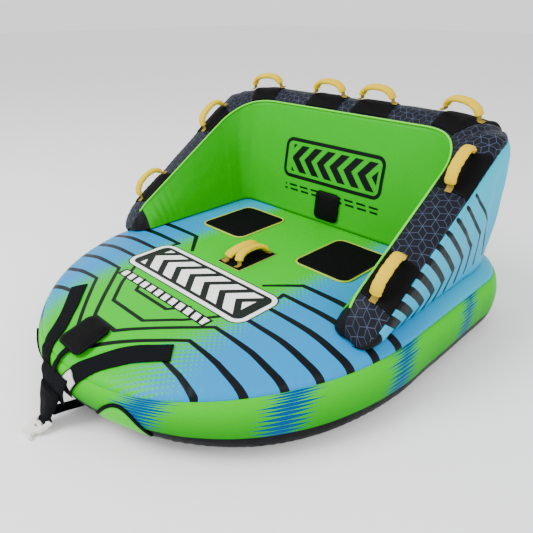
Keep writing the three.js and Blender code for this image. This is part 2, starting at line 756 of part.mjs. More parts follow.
// ---- zip and bow patches ------------------------------------------------------------------------

function rearPoint(x, height, out) {
  return sidePoint(Math.atan2(1, x / EDGE_HALF_WIDTH), height, out);
}

function zipTape() {
  const columns = Array.from({ length: 9 }, (_, i) => mix(-ZIP_HALF, ZIP_HALF, i / 8));
  const side = (out) => columns.map((x) => [-6, 0, 6].map((h) => rearPoint(x, ZIP_ANGLE + h, out)));
  return sheetBody(side(COVER_OUT + 3.2), side(COVER_OUT + 1.6));
}

function zipSlider() {
  const outline = new THREE.Shape();
  outline.moveTo(-5, -7).lineTo(5, -7).lineTo(7, 5).lineTo(0, 9).lineTo(-7, 5).closePath();
  return new THREE.ExtrudeGeometry(outline, { depth: 5, bevelEnabled: false });
}

function addZip() {
  add('deck_zip_tape', zipTape(), COLOURS.zip);
  const place = rearPoint(ZIP_HALF - 60, ZIP_ANGLE, COVER_OUT + 8);
  const out = vec(0, Math.cos(radians(ZIP_ANGLE)), Math.sin(radians(ZIP_ANGLE)));
  const seat = frameAt('zip_slider', place, vec(0, 0, 1), out);
  add('deck_zip_slider', zipSlider(), COLOURS.plastic, seat, 0.3);
}

function bowPatch(side) {
  const share = [0, 0.2, 0.4, 0.6, 0.8, 1];
  const grid = (out) => share.map((s) => {
    const angle = noseAngle(mix(186, 352, s));
    const top = LOW_SEAM + 6 + 72 * Math.sin(Math.PI * mix(0.1, 0.94, s));
    return [0, 0.5, 1].map((t) => {
      const point = sidePoint(angle, mix(LOW_SEAM + 3, top, t), out);
      point.x *= side;
      return point;
    });
  });
  return sheetBody(grid(COVER_OUT + 5.5), grid(COVER_OUT + 4));
}

// ---- assembly -----------------------------------------------------------------------------------

add('deck_bladder', deckBladder(), COLOURS.bladder);
add('deck_top_cover', deckTopCover(), COLOURS.deck);
add('deck_side_band', deckSideBand(), COLOURS.band);
add('deck_bottom_cover', deckBottomCover(), COLOURS.bottom);
add('backrest_bladder', backrestBladder(), COLOURS.bladder);
add('backrest_inner_panel', backrestInnerPanel(), COLOURS.inner);
add('backrest_rim_panel', wallPanel('rim', 0.005, 0.995), COLOURS.rim);
add('backrest_outer_panel', wallPanel('outer', 0.005, 1), COLOURS.outer);
add('backrest_piping', seamPiping(), COLOURS.piping);
add('seat_pad_left', deckPad(SEAT_PAD, 1, COVER_OUT + 2.5, COVER_OUT + 10), COLOURS.black, towable, 0.9);
add('seat_pad_right', deckPad(SEAT_PAD, -1, COVER_OUT + 2.5, COVER_OUT + 10), COLOURS.black, towable, 0.9);
add('deck_handle_patch', deckPad(DECK_PATCH, 1, COVER_OUT + 1, COVER_OUT + 3), COLOURS.black);
addRimHandles();
addDeckHandles();
addValves();
addHarness();
addZip();
add('bow_patch_left', bowPatch(1), COLOURS.band);
add('bow_patch_right', bowPatch(-1), COLOURS.band);

export default towable;
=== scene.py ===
"""Looks of a two-rider towable tube, built round its CAD frame: metres, nose towards -Y, floor at z = 0."""
import math
import bpy
import numpy as np
from mathutils import Matrix, Vector
from mathutils.bvhtree import BVHTree


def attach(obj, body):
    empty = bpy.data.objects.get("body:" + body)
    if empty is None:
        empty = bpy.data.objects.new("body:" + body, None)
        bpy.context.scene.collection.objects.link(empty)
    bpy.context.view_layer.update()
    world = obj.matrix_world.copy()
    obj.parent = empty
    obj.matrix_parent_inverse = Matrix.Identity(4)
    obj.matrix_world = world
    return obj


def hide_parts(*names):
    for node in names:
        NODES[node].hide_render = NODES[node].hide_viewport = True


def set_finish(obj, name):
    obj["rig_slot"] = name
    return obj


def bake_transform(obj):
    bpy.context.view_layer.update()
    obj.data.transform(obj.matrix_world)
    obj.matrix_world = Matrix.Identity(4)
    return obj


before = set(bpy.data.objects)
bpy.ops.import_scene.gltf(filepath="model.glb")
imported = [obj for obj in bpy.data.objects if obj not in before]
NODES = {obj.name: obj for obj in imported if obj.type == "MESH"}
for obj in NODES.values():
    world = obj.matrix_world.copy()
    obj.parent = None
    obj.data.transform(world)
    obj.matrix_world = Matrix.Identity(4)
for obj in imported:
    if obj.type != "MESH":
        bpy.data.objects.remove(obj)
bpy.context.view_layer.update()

# ---- the surfaces of the tube, in millimetres, before they are put in the frame

FRAME_SHIFT_Y = -130.4
BEAM_Y, EDGE_HALF, NOSE_LENGTH, REAR_REACH, REAR_CORNER = 224, 747, 912, 842, 240
SIDE_BULGE, DECK_TOP, DECK_CROWN, CROWN_POWER, BOW_DROP = 80, 318, 42, 8, 62
COVER_OUT, LOW_SEAM = 3, -56
SEAMS = {"innerLow": (583, 693, 45), "innerTop": (641, 774, 215),
         "outerTop": (773, 946, 194), "outerLow": (738, 1006, 190)}
ARM_START_Y, TOE_SHARE, TOE_X, WALL_LIFT = -20, 0.16, 680, 7.5
TURN_START_Y, TURN_END_X = 559, 426
RISES = {"innerTop": (71, 0.65, 554), "outerTop": (25, 0.693, 554)}


def mix(a, b, share):
    return a + (b - a) * share


def smooth(low, high, value):
    t = np.clip((value - low) / (high - low), 0, 1)
    return t * t * (3 - 2 * t)


def points(x, y, z):
    return np.stack(np.broadcast_arrays(x, y, z), -1).astype(float)


def pairs(x, y):
    return np.stack(np.broadcast_arrays(x, y), -1).astype(float)


def raised(flat, z):
    return np.concatenate([flat, z[..., None]], -1)


def circle(count):
    """Even turns round a circle, without the last that would meet the first."""
    return np.arange(count) * 2 * math.pi / count


def placed(p):
    """Millimetres of the tube's own plan as metres in the frame."""
    return (np.asarray(p, float) + (0, FRAME_SHIFT_Y, 0)) * 0.001


def unit(v):
    return v / (np.linalg.norm(v, axis=-1, keepdims=True) + 1e-12)


def deck_reach(x, y):
    across, along = np.abs(x), np.asarray(y, float) - BEAM_Y
    flat_x, flat_y = EDGE_HALF - REAR_CORNER, REAR_REACH - REAR_CORNER
    size = across**2 + along**2
    lean = across * flat_x + along * flat_y
    rest = flat_x**2 + flat_y**2 - REAR_CORNER**2
    corner = size / (lean + np.sqrt(np.maximum(lean**2 - size * rest, 0)) + 1e-9)
    rear = np.where(along * flat_x >= across * REAR_REACH, along / REAR_REACH, corner)
    rear = np.where(along * EDGE_HALF <= across * flat_y, across / EDGE_HALF, rear)
    return np.where(along <= 0, np.hypot(across / EDGE_HALF, along / NOSE_LENGTH), rear)


def deck_edge(angle):
    x = EDGE_HALF * np.cos(angle)
    along = np.sin(angle) * np.where(np.sin(angle) > 0, REAR_REACH, NOSE_LENGTH)
    reach = deck_reach(x, BEAM_Y + along)
    return x / reach, BEAM_Y + along / reach


def nose_share(y):
    return np.clip((BEAM_Y - y) / NOSE_LENGTH, 0, 1)


def rocker(y):
    return 98 * (np.maximum(0, nose_share(y) - 0.12) / 0.88) ** 4


def deck_top(x, y):
    share = nose_share(y)
    drop = BOW_DROP * share**5.6 * (1 - 0.6 * share**12)
    return DECK_TOP - (DECK_CROWN + drop) * deck_reach(x, y) ** CROWN_POWER


def top_ring(angles, share):
    x, y = deck_edge(angles)
    x, y = x * share, BEAM_Y + (y - BEAM_Y) * share
    return points(x, y, deck_top(x, y) + COVER_OUT)


def bottom_ring(angles, share):
    x, y = deck_edge(angles)
    y = BEAM_Y + (y - BEAM_Y) * share
    return points(x * share, y, rocker(y))


def side_point(angle, height, out=COVER_OUT):
    angle, height = np.asarray(angle, float), np.radians(height)
    x, y = deck_edge(angle)
    ahead, behind = deck_edge(angle + 1e-3), deck_edge(angle - 1e-3)
    way = unit(np.stack([ahead[0] - behind[0], ahead[1] - behind[1]], -1))
    high, low = deck_top(x, y), rocker(y) + COVER_OUT
    half = (high - low) / 2
    swell = (SIDE_BULGE * np.sqrt(half / (DECK_TOP / 2)) + out) * np.cos(height)
    return points(x + way[..., 1] * swell, y - way[..., 0] * swell,
                  (high + low) / 2 + (half + out) * np.sin(height))


def seam_plan(seam, place):
    half, back, corner = SEAMS[seam]
    s = np.minimum(place, 6 - place)
    before, arc = back - corner - TURN_START_Y, corner * math.pi / 2
    walked = np.clip(s - 1, 0, 1) * (before + arc + half - corner - TURN_END_X)
    turn = np.clip((walked - before) / corner, 0, math.pi / 2)
    x = half - corner * (1 - np.cos(turn)) - np.maximum(walked - before - arc, 0)
    y = np.where(walked < before, TURN_START_Y + walked, back - corner * (1 - np.sin(turn)))
    y = np.where(s < 1, mix(ARM_START_Y, TURN_START_Y, s), y)
    x = np.where(s > 2, TURN_END_X * (3 - s), x)
    x = mix(TOE_X, x, toe_share(place) ** 0.6)
    return np.where(place > 3, -x, x), y


def toe_share(place):
    s = np.minimum(np.minimum(place, 6 - place) / TOE_SHARE, 1)
    return np.sqrt(1 - (1 - s) ** 2)


def seam_point(seam, place):
    x, y = seam_plan(seam, place)
    floor = deck_top(x, y) + WALL_LIFT
    if seam not in RISES:
        return points(x, y, floor)
    start, slope, limit = RISES[seam]
    ramp = start + slope * y
    rise = (ramp + limit - np.sqrt((ramp - limit) ** 2 + 40**2)) / 2
    return points(x, y, mix(floor, DECK_TOP + rise, toe_share(place)))


def wall_point(face, place, across):
    ends = {"inner": ("innerLow", "innerTop"), "rim": ("innerTop", "outerTop"),
            "outer": ("outerTop", "outerLow")}[face]
    start, end = (seam_point(seam, place) for seam in ends)
    point = mix(start, end, across)
    swell = np.sin(np.pi * across) * toe_share(place)
    if face == "rim":
        point[..., 2] += swell * mix(6, 48, smooth(0.8, 2, np.minimum(place, 6 - place)))
        return point
    out = (seam_point("outerLow", place) - seam_point("innerLow", place)) * (1, 1, 0)
    return point + unit(out) * np.expand_dims(swell * (20 if face == "outer" else -9), -1)


# ---- grids of points and the meshes made from them


def normals(grid, ring=False):
    down = np.gradient(grid, axis=0)
    if ring:
        inner = grid[:, :-1]
        along = np.roll(inner, -1, 1) - np.roll(inner, 1, 1)
        along = np.concatenate([along, along[:, :1]], 1)
    else:
        along = np.gradient(grid, axis=1)
    return unit(np.cross(down, along))


def through(controls, counts):
    """Rows of points on a smooth curve through rows of control points, so many to each span."""
    p = np.asarray(controls, float)
    d = np.linalg.norm(np.diff(p, axis=0), axis=-1, keepdims=True) + 1e-9
    slope = np.diff(p, axis=0) / d
    tangent = np.empty_like(p)
    tangent[1:-1] = (slope[:-1] * d[1:] + slope[1:] * d[:-1]) / (d[:-1] + d[1:])
    tangent[0], tangent[-1] = slope[0], slope[-1]
    rows = []
    for k, n in enumerate(counts):
        t = (np.arange(n) / n).reshape(-1, *[1] * (p.ndim - 1))
        rows.append(
            (2 * t**3 - 3 * t**2 + 1) * p[k] + (t**3 - 2 * t**2 + t) * d[k] * tangent[k]
            + (3 * t**2 - 2 * t**3) * p[k + 1] + (t**3 - t**2) * d[k] * tangent[k + 1])
    return np.concatenate(rows + [p[-1:]])


def lengths(grid, axis):
    """How far each point of a grid is along one way of it."""
    step = np.linalg.norm(np.diff(grid, axis=axis), axis=-1)
    total = np.cumsum(step, axis=axis)
    return np.concatenate([np.zeros_like(np.take(total, [0], axis)), total], axis)


def ripple(p, size, seed, waves=7):
    """Smooth unevenness between about -1 and 1, with features of a given size."""
    rng = np.random.default_rng(seed)
    total = 0
    for _ in range(waves):
        way = unit(rng.normal(size=np.asarray(p).shape[-1]))
        total = total + np.sin(p @ way * (2 * math.pi / size) * rng.uniform(0.6, 1.5)
                               + rng.uniform(0, 6.3))
    return total / waves * 1.6


class Panel:
    """A stretch of the tube's skin: rows across it and columns along it, in metres."""

    def __init__(self, grid, ring=False):
        self.grid, self.ring = grid, ring
        self.normals = normals(grid, ring)
        self.across = lengths(grid, 0)
        self.along = lengths(grid, 1)[len(grid) // 2]

    def pushed(self, out):
        return Panel(self.grid + self.normals * np.asarray(out)[..., None], self.ring)

    def rows(self, low, high):
        return Panel(self.grid[low:high + 1], self.ring)

    def at(self, row, column, lift=0):
        r = np.clip(row, 0, self.grid.shape[0] - 1.001)
        c = np.clip(column, 0, self.grid.shape[1] - 1.001)
        r, c = np.broadcast_arrays(r, c)
        i, j = np.floor(r).astype(int), np.floor(c).astype(int)
        s, t = (r - i)[..., None], (c - j)[..., None]
        both = [mix(mix(g[i, j], g[i, j + 1], t), mix(g[i + 1, j], g[i + 1, j + 1], t), s)
                for g in (self.grid, self.normals)]
        return both[0] + unit(both[1]) * np.asarray(lift)[..., None]


def grid_faces(rows, columns, around=False, ends=False):
    """The faces of a grid, joined up around its rows, and from its last row to its first, where asked."""
    r, c = np.mgrid[0:rows - (not ends), 0:columns - (not around)]
    down, side = (r + 1) % rows * columns, (c + 1) % columns
    return np.stack([r * columns + c, down + c, down + side, r * columns + side], -1).reshape(-1, 4).tolist()


def piece(name, verts, faces, finish, slot, uv=None, sharp=False):
    mesh = bpy.data.meshes.new(name)
    mesh.from_pydata(np.asarray(verts).reshape(-1, 3).tolist(), [], faces)
    mesh.validate()
    mesh.polygons.foreach_set("use_smooth", [not sharp] * len(mesh.polygons))
    if uv is not None:
        layer = mesh.uv_layers.new(name="plan")
        corner = np.zeros(len(mesh.loops), np.int32)
        mesh.loops.foreach_get("vertex_index", corner)
        layer.data.foreach_set("uv", np.asarray(uv, float).reshape(-1, 2)[corner].ravel())
    obj = bpy.data.objects.new(name, mesh)
    bpy.context.scene.collection.objects.link(obj)
    mesh.materials.append(finish)
    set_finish(obj, slot)
    return obj


def sheet_piece(name, panel, finish, slot, thick=0.002, hub=None, uv=None):
    """A panel as a piece of cloth with a thickness. hub closes the hole inside its first or last row."""
    rows, columns = panel.grid.shape[:2]
    verts = panel.grid.reshape(-1, 3)
    faces = grid_faces(rows, columns)
    if uv is None:
        uv = pairs(panel.along[None, :], panel.across)
    uv = np.asarray(uv, float).reshape(-1, 2)
    if hub is not None:
        start = 0 if hub == 0 else (rows - 1) * columns
        middle = verts[start:start + columns].mean(0)
        verts, uv = np.vstack([verts, middle]), np.vstack([uv, (0, 0)])
        ends = [(start + i, start + i + 1, len(verts) - 1) for i in range(columns - 1)]
        faces += [e if hub == 0 else (e[1], e[0], e[2]) for e in ends]
    obj = piece(name, verts, faces, finish, slot, uv)
    shell = obj.modifiers.new("thickness", "SOLIDIFY")
    shell.thickness, shell.offset = thick, -1
    return obj


def tube_rings(centres, ups, outline):
    """Rings of an outline carried along a line; ups are the directions of the outline's second axis."""
    centres = np.asarray(centres, float)
    ways = unit(np.gradient(centres, axis=0))
    ups = unit(ups - (ups * ways).sum(-1, keepdims=True) * ways)
    sides = np.cross(ways, ups)
    return (centres[:, None] + sides[:, None] * outline[..., :1] + ups[:, None] * outline[..., 1:])


def closed_tube(name, rings, finish, slot, uv=None):
    count, around = rings.shape[:2]
    grid = np.concatenate([rings, rings[:, :1]], 1)
    verts = rings.reshape(-1, 3)
    faces = [(a, d, c, b) for a, b, c, d in grid_faces(count, around, True)]
    verts = np.vstack([verts, rings[0].mean(0), rings[-1].mean(0)])
    hub = len(verts) - 2
    faces += [((i + 1) % around, i, hub) for i in range(around)]
    last = (count - 1) * around
    faces += [(last + i, last + (i + 1) % around, hub + 1) for i in range(around)]
    u, v = lengths(grid, 0)[:, :-1], lengths(grid, 1)[:, :-1]
    flat = np.vstack([np.stack([u, v], -1).reshape(-1, 2), (0, 0), (u.max(), 0)])
    return piece(name, verts, faces, finish, slot, flat)


def declare(obj, panel):
    """Works out how large a panel was cut, its area the surface of one side of it and a little over, but
    keeps none of it: the piece comes back unchanged.
    """
    width, length = float(panel.along.max()), float(panel.across.max())
    cells = np.cross(np.diff(panel.grid, axis=0)[:, :-1], np.diff(panel.grid, axis=1)[:-1])
    area = float(np.linalg.norm(cells, axis=-1).sum()) * 1.03
    if not 0.32 * width * length < area < width * length:
        length = area * 1.05 / width
    return obj


def cover(name, panel, finish, slot, nodes, under, **details):
    """A sheet of the hull that stands for nodes of the frame; under, the piece it lies on, is not used."""
    obj = sheet_piece(name, panel, finish, slot, **details)
    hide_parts(*nodes)
    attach(declare(obj, panel), "hull")


def padding(obj, node, body):
    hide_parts(node)
    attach(obj, body)


def dress(name, finish, slot):
    """Gives a node of the frame that stays in sight its finish."""
    materials = NODES[name].data.materials
    materials.clear()
    materials.append(finish)
    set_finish(NODES[name], slot)


# ---- finishes


class Value:
    """A socket of a finish, with arithmetic."""

    def __init__(self, finish, socket):
        self.finish, self.socket = finish, socket

    def __add__(self, other):
        return self.finish.math("ADD", self, other)

    def __sub__(self, other):
        return self.finish.math("SUBTRACT", self, other)

    def __mul__(self, other):
        return self.finish.math("MULTIPLY", self, other)

    def __truediv__(self, other):
        return self.finish.math("DIVIDE", self, other)

    def __rsub__(self, other):
        return self.finish.math("SUBTRACT", other, self)

    def __abs__(self):
        return self.finish.math("ABSOLUTE", self)

    __radd__, __rmul__ = __add__, __mul__


def colour(text):
    """A six-digit colour as linear red, green, blue and alpha."""
    parts = [int(text[i:i + 2], 16) / 255 for i in (0, 2, 4)]
    return (*[c / 12.92 if c < 0.04045 else ((c + 0.055) / 1.055) ** 2.4 for c in parts], 1)


class Finish:
    """A procedural material in the making."""

    def __init__(self, name):
        self.material = bpy.data.materials.new(name)
        self.material.use_nodes = True
        self.tree = self.material.node_tree
        self.shader = self.tree.nodes["Principled BSDF"]
        self.place = self.node("TexCoord", out="Object")
        self.uv = self.node("UVMap", {"uv_map": "plan"}, out="UV")
        self.x, self.y, self.z = self.split(self.place)
        self.u, self.v, _ = self.split(self.uv)

    def node(self, kind, settings=None, values=None, out=0):
        node = self.tree.nodes.new("ShaderNode" + kind)
        for key, value in (settings or {}).items():
            setattr(node, key, value)
        for key, value in (values or {}).items():
            self.feed(node.inputs[key], value)
        return Value(self, node.outputs[out])

    def feed(self, socket, value):
        if isinstance(value, Value):
            self.tree.links.new(value.socket, socket)
        else:
            socket.default_value = value

    def math(self, operation, *values, clamp=False):
        return self.node("Math", {"operation": operation, "use_clamp": clamp},
                         dict(enumerate(values)))

    def vector(self, operation, *values, out=0):
        return self.node("VectorMath", {"operation": operation},
                         dict(enumerate(values)), out)

    def split(self, value):
        node = self.node("SeparateXYZ", values={0: value}).socket.node
        return [Value(self, s) for s in node.outputs]

    def join(self, x=0.0, y=0.0, z=0.0):
        return self.node("CombineXYZ", values={0: x, 1: y, 2: z})

    def mix(self, share, a, b):
        return self.node("Mix", {"data_type": "RGBA"}, {0: share, 6: a, 7: b}, 2)

    def ramp(self, value, low, high):
        """0 below low, 1 above high, smooth between; the other way round if low is above high."""
        if low > high:
            return 1 - self.ramp(value, high, low)
        return self.node("MapRange", {"interpolation_type": "SMOOTHSTEP"},
                         {0: value, 1: low, 2: high})

    def both(self, *values):
        return self.fold("MULTIPLY", values)

    def any(self, *values):
        return self.fold("MAXIMUM", values)

    def least(self, *values):
        return self.fold("MINIMUM", values)

    def fold(self, operation, values):
        total = values[0]
        for value in values[1:]:
            total = self.math(operation, total, value)
        return total

    def noise(self, scale, detail=3.0, where=None):
        return self.node("TexNoise", values={
            "Vector": where or self.place, "Scale": scale, "Detail": detail})

    def weave(self, pitch=0.0011):
        """Height of a plain weave, at any slope of the cloth."""
        k = 2 * math.pi / pitch
        waves = [self.math("SINE", axis * k) for axis in (self.x, self.y, self.z)]
        return (waves[0] + waves[1] + waves[2]) * 0.00002

    def line(self, *stops):
        """How far outside a line through stops of (x, y, width) this place is, x and y in metres."""
        near = []
        for (ax, ay, aw), (bx, by, bw) in zip(stops, stops[1:]):
            way = np.array((bx - ax, by - ay)) + 1e-6
            size = float(way @ way)
            start = self.vector("SUBTRACT", self.flat, (ax, ay, 0))
            share = self.vector("DOT_PRODUCT", start, (*(way / size), 0), out="Value")
            share = self.math("ADD", share, 0, clamp=True)
            foot = self.node("VectorMath", {"operation": "SCALE"},
                             {0: (*way, 0), "Scale": share})
            away = self.vector("DISTANCE", start, foot, out="Value")
            near.append(away - (share * ((bw - aw) / 2) + aw / 2))
        return self.least(*near)

    def rounded_box(self, x, y, half_x, half_y, radius):
        """How far outside a box with round corners, centred where x and y are 0."""
        qx = abs(x) - (half_x - radius)
        qy = abs(y) - (half_y - radius)
        out = self.vector("LENGTH", self.join(self.math("MAXIMUM", qx, 0), self.math("MAXIMUM", qy, 0)),
                          out="Value")
        return out + self.math("MINIMUM", self.math("MAXIMUM", qx, qy), 0) - radius

    def bars(self, along, pitch, fill):
        """1 on bars that repeat along a distance."""
        return self.math("LESS_THAN", self.math("FRACT", along * (1 / pitch)), fill)

    def done(self, base, rough, height, coat=0.0, metal=0.0, index=1.22):
        self.feed(self.shader.inputs["Base Color"], base)
        self.shader.inputs["IOR"].default_value = index
        self.feed(self.shader.inputs["Roughness"], rough)
        self.feed(self.shader.inputs["Coat Weight"], coat)
        self.feed(self.shader.inputs["Metallic"], metal)
        self.feed(self.shader.inputs["Normal"], self.node("Bump", values={
            "Strength": 0.6, "Distance": 1.0, "Height": height}, out="Normal"))
        return self.material

    def cloth(self, base, rough=0.42, wrinkle=1.0, index=1.2):
        """Coated cloth: a fine weave, faint creases and an uneven shine."""
        height = self.weave() + self.noise(22) * (0.0016 * wrinkle) + self.noise(80) * 0.00035
        return self.done(base, self.noise(14) * 0.14 + (rough - 0.07), height, index=index)


GREEN, BLUE, CYAN = (0.008, 0.45, 0.0, 1), (0.0, 0.22, 0.5, 1), (0.0, 0.34, 0.52, 1)
LEAF, WHITE, DARK = (0.004, 0.37, 0.0, 1), (0.9, 0.91, 0.9, 1), (0.003, 0.0033, 0.0045, 1)
RIBS, RIB_TOP, RIB_PITCH, RIB_REACH = 7, 135, 108, 805
TAILS = {0: [(230, 25)], 1: [(340, 0)], 4: [(70, -545), (0, -545)], 5: [(45, -640)]}
CHEVRONS = [[(0, -450), (100, -450), (200, -350), (280, -240)], [(0, -350), (100, -350), (150, -280)]]
STRIPE_COUNT = 10


def deck_lines():
    """Ribs at an even pitch that end on a circle inside the edge, with tails, and two chevrons."""
    lines = []
    for k in range(RIBS):
        y = RIB_TOP - k * RIB_PITCH
        reach = RIB_REACH * math.sqrt(1 - ((RIB_TOP - y) / (RIB_REACH + 5)) ** 2)
        inner = 340 - 6 * k
        wide = 36 - 2 * k
        rib = [(reach, y - (12 if k else 7), wide), ((reach + inner) / 2, y, wide - 5),
               (inner, y, wide * 0.6)]
        lines.append(rib + [(x, tail, 17) for x, tail in TAILS.get(k, [])])
    return lines + [[(x, y, 16) for x, y in chevron] for chevron in CHEVRONS]


def wall_stripes():
    """Stripes up the arms at an even pitch, from the toe back: top, knee and foot of each."""
    return [[(52 + 57 * k, 400 + 33 * k), (140 + 84 * k - 2.1 * k * k, 330 + 5 * k + 2.2 * k * k),
             (128 + 76 * k, 285 + k * k)] for k in range(STRIPE_COUNT)]


def deck_print():
    """Green in the middle and blue at the sides with dots between, under dark lines and a badge."""
    f = Finish("deck_print")
    side = abs(f.x)
    f.flat = f.join(side, f.y - FRAME_SHIFT_Y * 0.001)
    _, y, _ = f.split(f.flat)
    bow = f.ramp(y, -0.15, -0.6)
    share = f.ramp((side + bow * 0.08 - 0.24) / (bow * 0.13 + 0.22), 0.0, 1.0)
    turn = 2 * math.pi / 0.0165 * math.sqrt(0.5)
    dots = f.math("COSINE", (f.x + f.y) * turn) + f.math("COSINE", (f.x - f.y) * turn)
    blue_part = f.ramp(dots * 0.25 + 0.5 + share * 1.16 - 0.08, 0.94, 1.06)
    blue = f.mix(f.ramp(y, 0.0, 0.75), BLUE, CYAN)
    base = f.mix(blue_part, GREEN, blue)
    paths = [[(x * 0.001, y * 0.001, w * 0.001) for x, y, w in line] for line in deck_lines()]
    away = f.least(*[f.line(*path) for path in paths])
    base = f.mix(f.ramp(away, 0.001, -0.001), base, DARK)
    badge = f.rounded_box(f.x, y + 0.122, 0.365, 0.117, 0.055)
    base = f.mix(f.ramp(badge, 0.007, 0.005), base, DARK)
    base = f.mix(f.ramp(badge, 0.001, -0.001), base, WHITE)
    base = f.mix(f.ramp(badge, -0.019, -0.021), base, (0.007, 0.009, 0.009, 1))
    tilt = abs(y + 0.122) * -0.9 + f.x
    marks = f.both(f.bars(tilt + 0.018, 0.094, 0.6), f.ramp(badge, -0.036, -0.038),
                   f.ramp(abs(f.x), 0.30, 0.298))
    base = f.mix(marks, base, WHITE)
    band = abs(y + 0.302)
    dash = f.both(f.bars(f.x + y * 0.35, 0.047, 0.66), f.ramp(abs(f.x), 0.272, 0.27))
    base = f.mix(f.both(f.ramp(band, 0.026, 0.024), f.ramp(side, 0.284, 0.282)), base, DARK)
    base = f.mix(f.both(dash, f.ramp(band, 0.019, 0.017)), base, WHITE)
    return f.cloth(base, 0.4)


def band_print():
    """Lime green, painted darker down the band as shade, with slanting patches of blue streaks and a black
    foot; u from the nose, v down the band.
    """
    f = Finish("band_print")
    row = f.v * 19
    shake = f.node("TexWhiteNoise", {"noise_dimensions": "1D"}, {"W": f.math("FLOOR", row)})
    tooth = abs(f.math("FRACT", row) - 0.5) * 2
    away = [abs(abs(f.u) - middle + f.v * 0.12) - half
            for middle, half in [(0.4 + 0.48 * k, 0.1 - 0.009 * k) for k in range(5)]]
    inside = f.ramp(f.least(*away) + shake * 0.03, 0.045, -0.08)
    streak = f.ramp(tooth - inside * 0.92, 0.05, -0.05)
    # painted shade: the lime green darkens down the band to a dark green low on it, as the shade that falls
    # there
    green = f.mix(f.ramp(f.v, 0.75, 0.1), (0.0, 0.2, 0.0, 1), (0.025, 0.46, 0.0, 1))
    base = f.mix(streak, green, (0.0, 0.06, 0.22, 1))
    base = f.mix(f.ramp(f.v + f.noise(5) * 0.02, 0.6, 0.61), base, DARK)
    return f.cloth(base, 0.38, 1.6, 1.1)


def wall_print():
    """Cyan, painted lighter high up and darker low down as light from above, with dark stripes that sweep
    down and back over both arms.
    """
    f = Finish("wall_print")
    f.flat = f.join(f.y - FRAME_SHIFT_Y * 0.001, f.z)
    away = []
    for k, stripe in enumerate(wall_stripes()):
        widths = np.linspace(38 - 2.6 * k, 30 - 2.2 * k, len(stripe)) * 0.001
        away.append(f.line(*[(y * 0.001, z * 0.001, w) for (y, z), w in zip(stripe, widths)]))
    # painted light and shade: the cyan is lighter high on the wall and darker low down, as light falls from
    # above
    base = f.mix(f.ramp(f.z, 0.25, 0.8), (0.0, 0.3, 0.52, 1), (0.0, 0.4, 0.56, 1))
    side = f.ramp(abs(f.x), 0.5, 0.505)
    toe = f.ramp(f.y + f.z * 0.25, -0.012, -0.016)
    base = f.mix(f.any(toe, f.both(f.ramp(f.least(*away), 0.001, -0.001), side)), base, DARK)
    return f.cloth(base, 0.45, 1.3)


def rim_print():
    """Navy black under a thin blue-grey net of cubes; u runs along the rim and v across it."""
    f = Finish("rim_print")
    size = 0.031
    cell = (size * 3, size * math.sqrt(3))
    near = []
    for shift in (0.0, 0.5):
        local = [(f.math("FRACT", w * (1 / c) + shift) - 0.5) * c for w, c in zip((f.u, f.v), cell)]
        near.append(local)
    far = [f.vector("LENGTH", f.join(*local), out="Value") for local in near]
    pick = f.math("LESS_THAN", far[0], far[1])
    x, y = [near[1][i] + (near[0][i] - near[1][i]) * pick for i in (0, 1)]
    edges, spokes = [], []
    for k in range(6):
        a = math.radians(60 * k + 30)
        edges.append(x * math.cos(a) + y * math.sin(a))
    for k in range(3):
        a = math.radians(120 * k)
        along = x * math.cos(a) + y * math.sin(a)
        off = abs(y * math.cos(a) - x * math.sin(a))
        spokes.append(f.any(off, along * -1))
    edge = size * math.sqrt(3) / 2 - f.any(*edges)
    lines = f.least(edge, *spokes)
    fade = f.noise(9, 1) * 0.7 + 0.25
    share = f.both(f.ramp(lines, 0.0014, 0.0005), fade)
    base = f.mix(share, (0.005, 0.006, 0.011, 1), (0.07, 0.1, 0.17, 1))
    return f.cloth(base, 0.5, 1.2)


def inner_print():
    """Bright green with a black badge on the middle of the back."""
    f = Finish("inner_print")
    z = f.z - 0.61
    badge = f.rounded_box(f.x + 0.012, z, 0.302, 0.1, 0.045)
    back = f.ramp(f.y, 0.3, 0.31)
    ring = f.both(f.ramp(badge, 0.001, -0.001), f.ramp(badge, -0.019, -0.017))
    tilt = abs(z) * -0.9 + f.x
    marks = f.both(f.bars(tilt + 0.02, 0.082, 0.58), f.ramp(badge, -0.032, -0.034),
                   f.ramp(abs(f.x), 0.262, 0.26))
    band = abs(f.z - 0.462)
    dash = f.both(f.bars(f.x + f.z * 0.4, 0.071, 0.72), f.ramp(abs(f.x), 0.29, 0.288),
                  f.ramp(abs(band - 0.011), 0.0055, 0.0045))
    toe = f.ramp(f.y, -0.09, -0.095)
    base = f.mix(f.any(toe, f.both(back, f.any(ring, marks, dash))), LEAF, DARK)
    return f.cloth(base, 0.42, 1.3)


def edged(name, base, edge, width, total, rough=0.6):
    """Cloth with a stitched, differently coloured border; u and v are shares of the piece."""
    f = Finish(name)
    u = abs(f.u - 0.5)
    v = abs(f.v - 0.5)
    inset = f.least((0.5 - u) * total[0], (0.5 - v) * total[1])
    stitch = f.both(f.bars(f.u * total[0] + f.v * total[1], 0.006, 0.62),
                    f.ramp(abs(inset - width * 0.7), 0.0011, 0.0006))
    paint = f.mix(f.ramp(inset, width + 0.0005, width - 0.0005), base, edge)
    paint = f.mix(stitch * 0.6, paint, (0.03, 0.033, 0.036, 1))
    height = f.weave() + f.noise(40) * 0.0008 + stitch * 0.0004
    return f.done(paint, f.noise(20) * 0.1 + rough - 0.05, height, index=1.1)


def plain(name, text, rough=0.5, grain=0.0006, coat=0.0, size=60, metal=0.0):
    f = Finish(name)
    base = f.mix(f.noise(size * 0.5) * 0.35, colour(text), colour(text[:6])
                 if metal else tuple(c * 0.6 for c in colour(text)[:3]) + (1,))
    height = f.noise(size) * grain + f.weave() * (0 if grain < 0.0002 else 1)
    return f.done(base, f.noise(30) * 0.1 + rough - 0.05, height, coat, metal,
                  1.45 if metal else 1.1 if sum(colour(text)[:3]) < 0.1 else 1.2)


